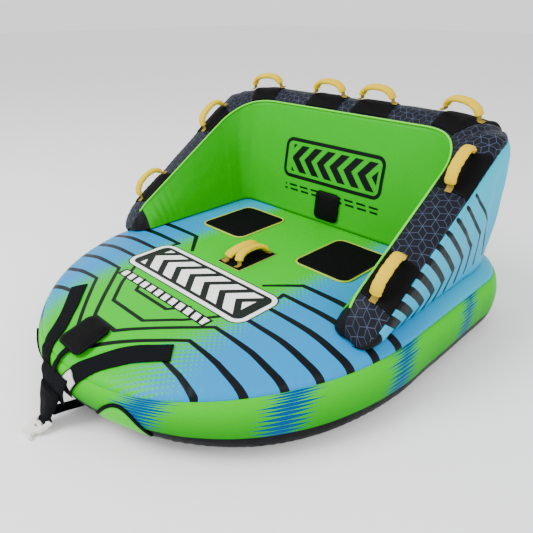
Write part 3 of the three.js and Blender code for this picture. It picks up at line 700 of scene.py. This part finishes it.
def ribbed(name, text, rough=0.75, rib=0.0022, accent="303438"):
    """Woven tape: fine ribs along u and v."""
    f = Finish(name)
    wave = f.math("SINE", f.u * (2 * math.pi / rib))
    wale = f.math("SINE", f.v * (2 * math.pi / (rib * 1.6)))
    base = f.mix(f.ramp(wave + wale, -1.2, 1.6), colour(accent), colour(text))
    height = (wave + wale) * 0.00016 + f.noise(50) * 0.0006
    return f.done(base, f.noise(40) * 0.1 + rough - 0.05, height, index=1.1)


# ---- deck

COLUMNS = 721


def deck_skin():
    """The whole skin of the deck, from the middle of the top round to the middle underneath."""
    turn = np.linspace(0.5, 2.5, 9001) * math.pi
    x, y = deck_edge(turn)
    walked = np.concatenate([[0], np.cumsum(np.hypot(np.diff(x), np.diff(y)))])
    angles = np.interp(np.linspace(0, walked[-1], COLUMNS), walked, turn)
    tops = [0.02, 0.25, 0.45, 0.6, 0.72, 0.82, 0.9, 0.955]
    sides = [64, 51, 36, 20, 4, -12, -28, -42, -56, -68, -80]
    unders = [0.97, 0.85, 0.6, 0.3, 0.02]
    controls = [placed(top_ring(angles, s)) for s in tops]
    controls += [placed(side_point(angles, h)) for h in sides]
    controls += [placed(bottom_ring(angles, s)) for s in unders]
    counts = [6, 6, 5, 4, 4, 3, 4, 5, 5] + [5, 4, 3, 3, 3, 4, 5] + [4, 4, 4, 4, 4, 4, 4]
    skin = Panel(through(controls, counts), ring=True)
    return pinched(skin, [sum(counts[:9]), sum(counts[:16])]), sum(counts[:9]), sum(counts[:16])


def pinched(skin, seams):
    """Pulls a skin in along its seams, with puckers beside them and faint unevenness all over."""
    push = ripple(skin.grid, 0.26, 3) * 0.0011 + ripple(skin.grid, 0.09, 4) * 0.0005
    u = skin.along[None, :] * 2 * math.pi
    total = skin.along[-1]
    for k, seam in enumerate(seams):
        away = np.abs(skin.across - skin.across[seam])
        push = push - 0.0032 * np.exp(-((away / 0.007) ** 2))
        beat = 0.45 + 0.55 * np.sin(u * round(total / 0.31) / total + k)
        tuck = np.sin(u * round(total / 0.034) / total + 1.7 * np.sin(u * 9 / total))
        push = push + 0.0016 * beat * tuck * np.exp(-away / 0.03) * (1 - np.exp(-away / 0.006))
    return skin.pushed(push)


deck, top_seam, low_seam = deck_skin()
nose_u = deck.along[COLUMNS // 2]
deck_tree = BVHTree.FromPolygons(
    [Vector(p) for p in deck.grid[:, :-1].reshape(-1, 3)],
    grid_faces(len(deck.grid), COLUMNS - 1, True))


def onto_deck(grid, lift):
    """A grid of points laid on the skin of the deck and lifted off it."""
    flat = np.asarray(grid, float).reshape(-1, 3)
    lift = np.broadcast_to(lift, np.asarray(grid).shape[:-1]).ravel()
    laid = []
    for p, out in zip(flat, lift):
        spot, normal, _, _ = deck_tree.find_nearest(Vector(p))
        laid.append(spot + normal * float(out))
    return np.array(laid).reshape(np.asarray(grid).shape)


def deck_covers():
    top, band, under = [deck.rows(*ends) for ends in (
        (0, top_seam), (top_seam, low_seam), (low_seam, len(deck.grid) - 1))]
    cover("deck_top_skin", top, deck_print(), "deck", ["deck_top_cover", "deck_bladder"],
          "deck_side_skin", hub=0)
    share = np.linspace(0, 1, len(band.grid))[:, None]
    uv = pairs(deck.along[None, :] - nose_u, share)
    cover("deck_side_skin", band, band_print(), "band", ["deck_side_band"], "deck_top_skin", uv=uv)
    cover("deck_under_skin", under, plain("under_cloth", "0c0d0f", 0.55, 0.0006, size=40), "bottom",
          ["deck_bottom_cover"], "deck_side_skin", hub=1)


# ---- backrest


def wall_places():
    """Places along the U of the backrest, at even steps of its upper seam."""
    place = np.concatenate([[0.0015, 0.006], np.linspace(0.013, 2.987, 2500)])
    place = np.concatenate([place, [3.0], 6 - place[::-1]])
    line = seam_point("outerTop", place)
    walked = np.concatenate([[0], np.cumsum(np.linalg.norm(np.diff(line, axis=0), axis=1))])
    return np.interp(np.linspace(0, walked[-1], 521), walked, place)


places = wall_places()
half_way = np.minimum(places, 6 - places)


def fold(place, centre, width, count, seed):
    """Folds across a stretch of the backrest round one place, mirrored on the other side."""
    near = np.exp(-(((half_way - centre) / width) ** 2))
    return near * np.sin((half_way - centre) * count + np.sign(place - 3) * seed)


def inner_skin():
    across = [0, 0.1, 0.25, 0.4, 0.55, 0.7, 0.85, 1]
    grid = through([placed(wall_point("inner", places, a)) for a in across], [4] * 7)
    skin = Panel(grid)
    v = np.linspace(0, 1, grid.shape[0])[:, None]
    body = np.sin(np.pi * v) ** 0.6 * toe_share(places)
    push = COVER_OUT * 0.001 * np.ones_like(v * body)
    push += fold(places, 1.42, 0.2, 17, 0.6) * 0.0055 * body * (0.5 + 0.5 * v)
    push += fold(places, 1.1, 0.16, 31, 2.0) * 0.0013 * body * (1 - 0.4 * v)
    slant = np.sin(half_way[None, :] * 95 + v * 5) * np.exp(-(((half_way - 0.24) / 0.13) ** 2))
    push += slant * 0.0022 * body
    push += ripple(grid, 0.22, 8) * 0.0022 * body + ripple(grid, 0.08, 9) * 0.0007 * body
    tuck = np.sin(skin.along[None, :] * 2 * math.pi / 0.03) * ripple(grid, 0.3, 5)
    push += 0.0012 * tuck * (np.exp(-(1 - v) / 0.1) + 0.6 * np.exp(-v / 0.1)) * body
    return skin.pushed(push)


def outside_skin():
    """Rim and outer wall as one skin, rounded over the seam between them, and the seam's row."""
    rims = [0, 0.18, 0.38, 0.6, 0.78, 0.9]
    walls = [0.07, 0.2, 0.4, 0.6, 0.8, 1]
    controls = [placed(wall_point("rim", places, a)) for a in rims]
    controls += [placed(wall_point("outer", places, a)) for a in walls]
    counts = [4] * 5 + [8] + [4] * 5
    grid = through(controls, counts)
    seam = sum(counts[:5]) + counts[5] // 2
    skin = Panel(grid)
    v = np.arange(grid.shape[0])[:, None]
    body = np.minimum(1, v / 4) * toe_share(places)
    push = COVER_OUT * 0.001 * np.ones_like(body)
    push += ripple(grid, 0.2, 12) * 0.0016 * body + ripple(grid, 0.07, 13) * 0.0006 * body
    away = np.abs(skin.across - skin.across[seam])
    push -= 0.0026 * np.exp(-((away / 0.006) ** 2)) * body
    tuck = np.sin(skin.along[None, :] * 2 * math.pi / 0.03 + ripple(grid, 0.2, 14) * 2)
    push += 0.0016 * tuck * np.exp(-away / 0.03) * body * (0.5 + 0.5 * ripple(grid, 0.35, 15))
    rim_part = np.exp(-(((v - 12) / 9) ** 2))
    push += fold(places, 1.45, 0.2, 40, 0.9) * 0.0045 * rim_part * body
    crease = np.exp(-(((half_way - 1.5 - 0.004 * (v - 18)) / 0.028) ** 2)) - 0.6 * np.exp(
        -(((half_way - 1.6 - 0.006 * (v - 18)) / 0.035) ** 2))
    push -= crease * 0.014 * np.exp(-(((v - 20) / 7) ** 2))
    wall_part = smooth(24, 34, v)
    push += fold(places, 1.35, 0.3, 24, 0.3) * 0.005 * wall_part * np.minimum(1, (45 - v) / 6)
    return skin.pushed(push), seam


inner = inner_skin()
outside, rim_seam = outside_skin()
rim = outside.rows(0, rim_seam)
wall = outside.rows(rim_seam, outside.grid.shape[0] - 1)
rim_u = rim.along
rim_width = float(np.median(rim.across[-1]))


def backrest_covers():
    cover("backrest_inner_skin", inner, inner_print(), "inner",
          ["backrest_inner_panel", "backrest_bladder"], "backrest_rim_skin")
    cover("backrest_rim_skin", rim, rim_print(), "rim", ["backrest_rim_panel"], "backrest_inner_skin")
    cover("backrest_outer_skin", wall, wall_print(), "outer", ["backrest_outer_panel"], "backrest_rim_skin")


def piping(name, line, ups, radius, finish, nodes=()):
    turn = circle(10)
    outline = pairs(np.cos(turn), np.sin(turn)) * radius
    obj = closed_tube(name, tube_rings(line, ups, outline[None]), finish, "piping")
    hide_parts(*nodes)
    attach(obj, "hull")


def backrest_piping():
    finish = plain("piping_cord", "6ade30", 0.4, 0.0002, size=200)
    line = (inner.grid[-1] + rim.grid[0]) / 2
    ups = unit(inner.normals[-1] + rim.normals[0])
    keep = slice(14, -14)
    piping("rim_piping", (line + ups * 0.0025)[keep], ups[keep], 0.0042, finish,
           ["backrest_piping"])


# ---- pads


def rim_pads(handles, finish):
    """A smooth pad right across the rim under each handle, its edges rolled down."""
    for n, place in enumerate(handles, 1):
        middle = np.interp(place, places, rim_u)
        share = np.linspace(-1, 1, 25)
        columns = np.interp(middle + share * 0.098, rim_u, np.arange(len(rim_u)))
        v = np.linspace(0.035, 0.975, 23)
        rows = v * rim_seam
        edge = (1 - np.abs(share) ** 9)[None, :] * (1 - np.abs(v * 2 - 1) ** 12)[:, None]
        grid = rim.at(rows[:, None], columns[None, :], 0.0015 + 0.0045 * edge)
        uv = pairs(np.linspace(0, 1, 25)[None, :], v[:, None])
        cover(f"rim_pad_{n}", Panel(grid), finish, "black_pad", [f"rim_handle_{n}_pad"],
              "backrest_rim_skin", uv=uv)


def rounded_loop(low_x, low_y, high_x, high_y, radius, steps=8, straight=10):
    """Points round a box with round corners, evenly spread along its straight sides."""
    loop = []
    corners = [(high_x - radius, high_y - radius, 0), (low_x + radius, high_y - radius, 90),
               (low_x + radius, low_y + radius, 180), (high_x - radius, low_y + radius, 270)]
    for x, y, start in corners:
        for i in range(steps + 1):
            turn = math.radians(start + 90 * i / steps)
            loop.append((x + radius * math.cos(turn), y + radius * math.sin(turn)))
    loop = np.array(loop + loop[:1])
    filled = []
    for a, b in zip(loop, loop[1:]):
        count = max(1, int(np.hypot(*(b - a)) / (2 * radius + 20) * straight))
        filled += [mix(a, b, i / count) for i in range(count)]
    return np.array(filled)


def box_panel(box, shares, height, steps=8):
    """A rounded box as rings from its middle to its edge; height gives each ring's lift."""
    loop = rounded_loop(*box, steps=steps)
    middle = np.array([(box[0] + box[2]) / 2, (box[1] + box[3]) / 2])
    loop = np.vstack([loop, loop[:1]])
    flat = np.array([middle + (loop - middle) * s for s in shares])
    lift = np.array([height(s) for s in shares])[:, None]
    return flat, np.broadcast_to(lift, flat.shape[:-1])


def shares_uv(flat, box):
    low, high = np.array(box[:2]), np.array(box[2:4])
    return (flat - low) / (high - low)


def seat_pads():
    finish = edged("seat_pad_cloth", (0.0035, 0.0035, 0.004, 1), (0.006, 0.006, 0.007, 1), 0.012,
                   (0.283, 0.33), 0.8)
    trim = plain("seat_trim", "a8c038", 0.45, 0.0002, size=200)
    box = (170, 258, 453, 588, 42)
    shares = np.concatenate([np.linspace(0.03, 0.9, 9), np.linspace(0.93, 1, 6)])
    for name, side in (("left", 1), ("right", -1)):
        flat, lift = box_panel(box, shares, lambda s: 8.5 - 2.5 * s**4 - 5 * s**40)
        mirrored = flat * (side, 1)
        z = deck_top(mirrored[..., 0], mirrored[..., 1]) + COVER_OUT + 1
        grid = placed(raised(mirrored, z))
        dent = ripple(grid, 0.07, 20 + side) * 0.0008
        grid[..., 2] += lift * 0.001 + dent
        uv = shares_uv(flat, box)
        obj = sheet_piece(f"seat_pad_skin_{name}", Panel(grid[:, ::side]), finish, "black_pad",
                          hub=0, uv=uv[:, ::side])
        padding(obj, f"seat_pad_{name}", "hull")
        loop = rounded_loop(*box[:4], 42, steps=10)
        loop = np.vstack([loop, loop[:1]]) * (side, 1)
        line = placed(points(loop[:, 0], loop[:, 1], deck_top(loop[:, 0], loop[:, 1]) + 6.2))
        ups = np.broadcast_to((0.0, 0.0, 1.0), line.shape)
        piping(f"seat_trim_{name}", line, ups, 0.0045, trim)


def deck_patch(finish):
    box = (-73, 34, 73, 268, 8)
    shares = np.concatenate([np.linspace(0.03, 0.9, 6), np.linspace(0.94, 1, 4)])
    flat, lift = box_panel(box, shares, lambda s: 2.2 - 1.2 * s**30)
    z = deck_top(flat[..., 0], flat[..., 1]) + COVER_OUT + lift
    panel = Panel(placed(raised(flat, z)))
    obj = sheet_piece("handle_patch", panel, finish, "black_pad", 0.0015, hub=0, uv=shares_uv(flat, box))
    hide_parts("deck_handle_patch")
    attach(obj, "hull")


# ---- handles


def seat_of(origin, x_way, z_way):
    """The matrix of a small frame of its own, from its origin and two of its directions."""
    z = Vector(z_way).normalized()
    x = (Vector(x_way) - z * Vector(x_way).dot(z)).normalized()
    return Matrix.Translation(origin) @ Matrix((x, z.cross(x), z)).transposed().to_4x4()


def carried(p, seat):
    m = np.array(seat)
    return np.asarray(p, float) @ m[:3, :3].T + m[:3, 3]


def handle_arc(share, height):
    turn = math.pi * (1 - np.asarray(share, float))
    flat = np.sign(np.cos(turn)) * np.abs(np.cos(turn)) ** 0.8
    return points(HANDLE_HALF * flat, 0, 10 + height * np.maximum(np.sin(turn), 0) ** 0.9)


def grip(body, seat, height, finish, seed, sag=0.0):
    """A foam sleeve on the webbing, oval in section, with soft creases and rounded ends."""
    t = np.linspace(0.055, 0.945, 84)
    line = handle_arc(t, height)
    ends = np.minimum(t - 0.055, 0.945 - t) / 0.03
    round_end = np.sqrt(np.clip(1 - (1 - np.clip(ends, 0, 1)) ** 2, 0, 1)) * 0.35 + 0.65
    turn = circle(28)
    oval = np.stack([np.sign(np.cos(turn)) * np.abs(np.cos(turn)) ** 0.85 * 22,
                     np.sign(np.sin(turn)) * np.abs(np.sin(turn)) ** 0.85 * 12.4], -1)
    crease = 1 - 0.05 * np.abs(np.sin(t * 31 + seed)) ** 6 - 0.03 * np.abs(np.sin(t * 17 + 2 * seed)) ** 8
    outline = oval[None] * (round_end * crease)[:, None, None]
    ups = np.gradient(line, axis=0)[:, [2, 1, 0]] * (-1, 0, 1)
    rings = tube_rings(line, ups, outline)
    rings += unit(rings - line[:, None]) * (ripple(rings, 30, seed) * 0.6)[..., None]
    rings[..., 1] += sag * np.clip((rings[..., 2] - 10) / height, 0, 1) ** 1.5
    obj = closed_tube(f"{body}_sleeve", carried(rings * 0.001, seat), finish, "grip")
    padding(obj, f"{body}_grip", body)


def webbing(body, seat, height, finish):
    """A tape that lies flat on its pad at both ends, and bends up into the grip."""
    arc = handle_arc(np.linspace(0, 1, 41), height)
    foot = np.array([(24, 0, 0.6), (14, 0, 0.6), (5, 0, 1.0), (0.5, 0, 4.5)]) + (HANDLE_HALF, 0, 0)
    line = np.vstack([foot * (-1, 1, 1), arc, foot[::-1]])
    line = through(line[:, None], [2] * (len(line) - 1))[:, 0]
    ways = unit(np.gradient(line, axis=0))
    ups = np.stack([-ways[:, 2], ways[:, 1] * 0, ways[:, 0]], -1)
    outline = np.array([(-12.5, -1.2), (12.5, -1.2), (12.5, 1.2), (-12.5, 1.2)])[None]
    rings = tube_rings(line, ups, outline)
    obj = closed_tube(f"{body}_tape", carried(rings * 0.001, seat), finish, "webbing")
    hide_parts(f"{body}_webbing")
    origin = seat.to_translation()
    origin + seat.to_3x3() @ Vector((0, 0, 0.022))
    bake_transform(obj)


RIM_PLACES = [0.305, 1.045, 1.74, 2.676, 3.324, 4.26, 4.955, 5.695]
HANDLE_HALF, HANDLE_OUT, HANDLE_Y, HANDLE_LIFT, HANDLE_LEAN = 82, 40, 152, 8, 14
VALVE_Y, VALVE_Z, FLAP_REACH, FLAP_LIFT = -623, 409, 73, 8


def rim_seat(place):
    """Where a handle stands on the rim: a little inside its middle, square to the cloth."""
    def at(along, across):
        return wall_point("rim", np.array([along]), across)[0]
    up = np.cross(at(place, 0.441) - at(place, 0.439), at(place + 0.001, 0.44) - at(place - 0.001, 0.44))
    up = unit(up) * np.sign(up[2])
    return seat_of(placed(at(place, 0.44) + up * 10), at(place + 0.02, 0.5) - at(place - 0.02, 0.5), up)


def deck_seat(y, steep, lift=0.0):
    """A seat on the middle line of the deck, square to a slope that falls towards the bow."""
    foot = np.array([0.0, y, float(deck_top(0.0, y))])
    out = unit(np.array([0.0, -steep, 1.0]))
    return seat_of(placed(foot + out * lift), (1, 0, 0), out)


def wall_seat(height, below=0.0, lift=0.0):
    """A seat on the middle of the inner wall, at a height, square to the cloth there."""
    def at(place, across):
        return wall_point("inner", np.array([place]), across)[0]
    share = (height - DECK_TOP) / (at(3, 1)[2] - DECK_TOP)
    up = unit(at(3, share + 0.001) - at(3, share - 0.001))
    out = np.array([0, -up[2], up[1]])
    return seat_of(placed(at(3, share) + up * below + out * lift), (1, 0, 0), out)


def handles():
    yellow = plain("grip_foam", "dcb800", 0.5, 0.0005, size=260)
    tape = ribbed("grip_tape", "a8923c", 0.6, accent="7a6420")
    for n, place in enumerate(RIM_PLACES, 1):
        body, seat = f"rim_handle_{n}", rim_seat(place)
        grip(body, seat, 54, yellow, n)
        webbing(body, seat, 54, tape)
    for body, side in (("deck_handle_left", 1), ("deck_handle_right", -1)):
        lean = math.radians(HANDLE_LEAN) * side
        foot = (HANDLE_OUT * side, HANDLE_Y, float(deck_top(0.0, HANDLE_Y)) + HANDLE_LIFT)
        seat = seat_of(placed(foot), (0, 1, 0), (-math.sin(lean), 0, math.cos(lean)))
        grip(body, seat, 40, yellow, 11 + side, 9 * side)
        webbing(body, seat, 40, tape)


# ---- valves


def valve(name, seat, flap_seat):
    """A collar welded round a valve, and the padded flap over it."""
    dark = plain("valve_rubber" if name == "deck" else "back_valve_rubber", "101214", 0.4, 0.0002)
    for part in ("base", "cap"):
        dress(f"{name}_valve_{part}", dark, "valve")
    turn = np.linspace(0, 2 * math.pi, 49)[:-1]
    section = np.array([(22.2, 3.2), (30, 3.2), (30.6, 4), (29, 5), (24, 5.8), (22.2, 5.4)])
    rings = points(section[None, :, 0] * np.cos(turn)[:, None],
                   section[None, :, 0] * np.sin(turn)[:, None], section[None, :, 1])
    faces = grid_faces(*rings.shape[:2], True, True)
    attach(piece(f"{name}_valve_collar", carried(rings * 0.001, seat), faces, dark, "valve"), "hull")
    box = (-74, -146, 74, 0, 27)
    shares = np.concatenate([np.linspace(0.02, 0.9, 12), np.linspace(0.93, 1, 5)])
    flat, lift = box_panel(box, shares, lambda s: 4 + 17 * (1 - s**4))
    grid = raised(flat, lift)
    grid[..., 2] += ripple(grid, 90, 31) * 1.1 * (lift > 6)
    panel = Panel(carried(grid * 0.001, flap_seat))
    obj = sheet_piece(f"{name}_flap_skin", panel, flap_cloth, "black_pad", 0.004, hub=0,
                      uv=shares_uv(flat, box))
    padding(obj, f"{name}_valve_flap", f"{name}_flap")


# ---- bow harness


def strap(name, node, stations, width, lift, finish):
    """A tape laid on the deck along stations, each a point (x, y) or an x and a height down the nose."""
    def point(x, y, height):
        if y is None:
            angle = -math.acos(max(-1, min(1, x / EDGE_HALF)))
            return side_point(np.array(angle), height)
        return points(x, y, deck_top(x, y) + COVER_OUT)
    line = np.array([placed(point(*s)).reshape(3) for s in stations])
    line = through(line[:, None], [7] * (len(line) - 1))[:, 0]
    line = onto_deck(line, 0)
    normal = unit(np.array([deck_tree.find_nearest(Vector(p))[1] for p in line]))
    side = unit(np.cross(np.gradient(line, axis=0), normal))
    share = np.linspace(-0.5, 0.5, 9)
    grid = line[:, None] + side[:, None] * (share * width)[None, :, None]
    grid = onto_deck(grid, lift + 0.0012 * ripple(grid, 0.09, 40))
    grid = grid.transpose(1, 0, 2)
    panel = Panel(grid)
    if (panel.normals * np.broadcast_to(normal[None], grid.shape)).sum() < 0:
        panel = Panel(grid[::-1])
    cover(name, panel, finish, "strap", [node], "deck_top_skin", thick=0.003)
    return panel


def harness():
    black = ribbed("harness_tape", "08090a", 0.8, accent="15171a")
    for side, name in ((1, "left"), (-1, "right")):
        path = [(315, -478), (265, -522), (215, -566), (174, -612), (146, -646)]
        drop = [(121, 80), (104, 58), (88, 36), (70, 14), (56, -6), (44, -24)]
        stations = [(side * x, y, 0) for x, y in path] + [(side * x, None, h) for x, h in drop]
        panel = strap(f"harness_tape_{name}", f"harness_strap_{name}", stations, 0.068, 0.006, black)
        if side > 0:
            strap_label(panel)
    stations = [(0, None, h) for h in (96, 64, 40, 10)]
    strap("harness_centre_tab", "harness_centre_strap", stations, 0.024, 0.0105, black)
    dress("harness_keel_strap", black, "strap")
    dress("tow_ring_webbing", black, "strap")
    yoke(black)
    towing(black)


def yoke(black):
    """The wide tape under both straps' ends, that turns down from the nose into the towing sleeve."""
    x = np.linspace(-80, 80, 17)
    heights = np.linspace(24, -34, 16)
    angle = -np.arccos(x / EDGE_HALF)
    drop = np.linspace(0, 1, 16)
    rows = [side_point(angle, h, 12 + 32 * d) * (1 - 0.24 * d, 1, 1) for h, d in zip(heights, drop)]
    grid = placed(np.array(rows))
    grid = grid + ripple(grid, 0.05, 44)[..., None] * (0, 0.0025, 0)
    panel = Panel(grid)
    obj = declare(sheet_piece("harness_yoke", panel, black, "strap", 0.004), panel)
    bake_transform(obj)


def strap_label(panel):
    """A blank sewn label across the riders' left tape, on the nose."""
    rows, columns = panel.grid.shape[:2]
    r = np.linspace(0.6, rows - 1.7, 10)[:, None]
    c = np.linspace(columns * 0.66, columns * 0.79, 12)[None, :]
    label = Panel(panel.at(r, c, 0.0022 + 0 * r * c))
    uv = pairs(np.linspace(0, 1, 12)[None, :], np.linspace(0, 1, 10)[:, None])
    finish = edged("label_cloth", (0.6, 0.6, 0.58, 1), (0.35, 0.35, 0.34, 1), 0.003, (0.045, 0.06))
    cover("harness_blank_label", label, finish, "label", ["harness_label"], "harness_tape_left",
          thick=0.001, uv=uv)


def towing(black):
    seat = Matrix.Translation((0, -0.8964, 0.152))
    turn = circle(32)

    def oval(half, z, deep):
        half, z, deep = [np.reshape(w, (-1, 1)) for w in (half, z, deep)]
        return points(half * np.cos(turn), z / 98 * 36 - 8 + deep * np.sin(turn), z - 6)

    z = np.linspace(2, -98, 34)
    half = np.interp(-z, [-2, 0, 20, 45, 75, 98], [66, 66, 62, 54, 42, 33])
    deep = np.interp(-z, [-2, 0, 20, 45, 98], [13, 15, 17, 16, 13])
    rings = oval(half, z, deep)
    crease = ripple(rings * (1, 1, 0.7), 34, 50) * 1.8 * np.clip((2 - z) / 20, 0, 1)[:, None]
    rings += unit((rings - rings.mean(1, keepdims=True)) * (1, 1, 0)) * crease[..., None]
    finish = plain("sleeve_cloth", "0b0c0e", 0.6, 0.0008, size=70)
    obj = closed_tube("towing_sleeve_skin", carried(rings * 0.001, seat)[:, ::-1], finish, "strap")
    padding(obj, "tow_sleeve", "towing_sleeve")
    cuff = oval([31, 30, 27, 23], [-99, -101, -104, -108], [11] * 4)
    obj = closed_tube("towing_cuff", carried(cuff * 0.001, seat)[:, ::-1], finish, "strap")
    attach(obj, "towing_sleeve")
    dress("tow_connector", plain("connector_plastic", "e6e4dc", 0.32, 0.00008, coat=0.3), "connector")


# ---- zip and bow patches


def zip_line():
    tape = plain("zip_cloth", "15171a", 0.7, 0.0004)
    teeth = plain("zip_teeth", "3a3f45", 0.35, 0.0001, metal=0.6)
    x = np.linspace(-470, 470, 95)
    angle = np.arctan2(1, x / EDGE_HALF)
    rows = [side_point(angle, h) for h in (28, 25, 22, 19, 16)]
    grid = onto_deck(placed(rows), 0.0022)
    panel = Panel(grid)
    if panel.normals[..., 1].mean() < 0:
        panel = Panel(grid[::-1])
    cover("zip_tape_skin", panel, tape, "zip", ["deck_zip_tape"], "deck_side_skin", thick=0.0012)
    count = 236
    c = np.interp(np.arange(count) / (count - 1), [0, 1], [0.5, 93.5])
    verts, faces = [], []
    corners = np.array([(a, b, h) for h in (0, 1) for a, b in ((-1, -1), (1, -1), (1, 1), (-1, 1))])
    quads = [(0, 3, 2, 1), (4, 5, 6, 7), (0, 1, 5, 4), (1, 2, 6, 5), (2, 3, 7, 6), (3, 0, 4, 7)]
    for i, column in enumerate(c):
        shift = 0.0007 * (1 if i % 2 else -1)
        base = panel.at(2.0, column, 0.0002)
        nearby = panel.at(2.0, column + 0.2, 0.0002)
        way, up = unit(nearby - base), unit(panel.at(2.0, column, 0.001) - base)
        side = np.cross(up, way)
        size = corners * (0.0008, 0.0026, 0.0016) + (0, shift, 0)
        verts += [base + way * a + side * b + up * h for a, b, h in size]
        faces += [tuple(8 * i + q for q in quad) for quad in quads]
    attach(piece("zip_teeth", verts, faces, teeth, "zip", sharp=True), "hull")
    dress("deck_zip_slider", plain("slider_metal", "c9ccd0", 0.3, 0.0001, metal=0.8), "zip")


def bow_patches():
    """A lens of green cloth low on each side of the nose, bound in black."""
    cloth = plain("bow_cloth", "30c010", 0.4, 0.0005, size=60)
    binding = ribbed("bow_binding", "08090a", 0.7, accent="131517")
    for name, side in (("left", 1), ("right", -1)):
        s = np.linspace(0, 1, 40)
        x = mix(186, 352, s)
        angle = -np.arccos(x / EDGE_HALF)
        top = LOW_SEAM + 6 + 72 * np.sin(np.pi * mix(0.1, 0.94, s))
        rows = [side_point(angle, mix(top, LOW_SEAM + 3, t)) * (side, 1, 1) for t in np.linspace(0, 1, 12)]
        grid = placed(np.array(rows))
        bulge = np.sin(np.linspace(0, np.pi, 12))[:, None] * np.sin(np.pi * s)[None, :]
        grid = onto_deck(grid, 0.003 + 0.003 * bulge)
        cover(f"bow_patch_skin_{name}", Panel(grid[:, ::side]), cloth, "band", [f"bow_patch_{name}"],
              "deck_side_skin", thick=0.0015)
        line = onto_deck(grid[0], 0.0035)
        ups = unit(line - onto_deck(line, 0))
        outline = np.array([(-6, -2), (6, -2), (6.5, 0), (6, 2.2), (0, 3), (-6, 2.2), (-6.5, 0)]) * 0.001
        rings = tube_rings(line, ups, outline[None])
        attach(closed_tube(f"bow_binding_{name}", rings, binding, "strap"), "hull")


# ---- all of it

BLACK, EDGE = (0.0045, 0.0045, 0.005, 1), (0.003, 0.003, 0.0035, 1)
pad_cloth = edged("rim_pad_cloth", BLACK, EDGE, 0.007, (0.196, rim_width))
patch_cloth = edged("patch_cloth", BLACK, (0.25, 0.33, 0.06, 1), 0.005, (0.146, 0.234), 0.7)
flap_cloth = edged("flap_cloth", BLACK, EDGE, 0.01, (0.148, 0.146), 0.55)
deck_covers()
backrest_covers()
backrest_piping()
rim_pads(RIM_PLACES, pad_cloth)
seat_pads()
deck_patch(patch_cloth)
handles()
fall = float(deck_top(0.0, VALVE_Y + 60) - deck_top(0.0, VALVE_Y - 60)) / 120
valve("deck", deck_seat(VALVE_Y, fall), deck_seat(VALVE_Y + FLAP_REACH, 0.29, FLAP_LIFT))
valve("back", wall_seat(VALVE_Z), wall_seat(VALVE_Z, FLAP_REACH, FLAP_LIFT))
harness()
zip_line()
bow_patches()

# ---- floor, light and camera


def light(name, place, size, power, aim=(0, 0, 0.3)):
    lamp = bpy.data.lights.new(name, "AREA")
    lamp.shape, lamp.size, lamp.energy = "DISK", size, power
    obj = bpy.data.objects.new(name, lamp)
    obj.location = place
    obj.rotation_euler = (Vector(aim) - Vector(place)).to_track_quat("-Z", "Y").to_euler()
    bpy.context.scene.collection.objects.link(obj)


CAMERA_PLACE, CAMERA_TURN, CAMERA_LENS = (1.4826, -1.3452, 1.3067), (62.92, 0, 44.96), 34.43


def studio():
    f = Finish("studio_floor")
    white = f.done((0.93, 0.93, 0.93, 1), 0.9, f.noise(3) * 0.0001)
    verts = [(x, y, 0) for x in (-30, 30) for y in (-30, 30)]
    floor = piece("floor", verts, [(0, 2, 3, 1)], white, "deck")
    del floor["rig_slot"]
    world = bpy.data.worlds.new("studio")
    world.use_nodes = True
    world.node_tree.nodes["Background"].inputs[0].default_value = (1, 1, 1, 1)
    world.node_tree.nodes["Background"].inputs[1].default_value = 1.3
    bpy.context.scene.world = world
    light("key", (-1.5, -3.5, 5), 3.0, 380)
    light("fill", (4.5, -1.0, 3), 3.0, 110)
    camera = bpy.data.cameras.new("view")
    camera.lens, camera.sensor_width = CAMERA_LENS, 36
    obj = bpy.data.objects.new("view", camera)
    obj.location = CAMERA_PLACE
    obj.rotation_euler = [math.radians(a) for a in CAMERA_TURN]
    bpy.context.scene.collection.objects.link(obj)
    bpy.context.scene.camera = obj


studio()
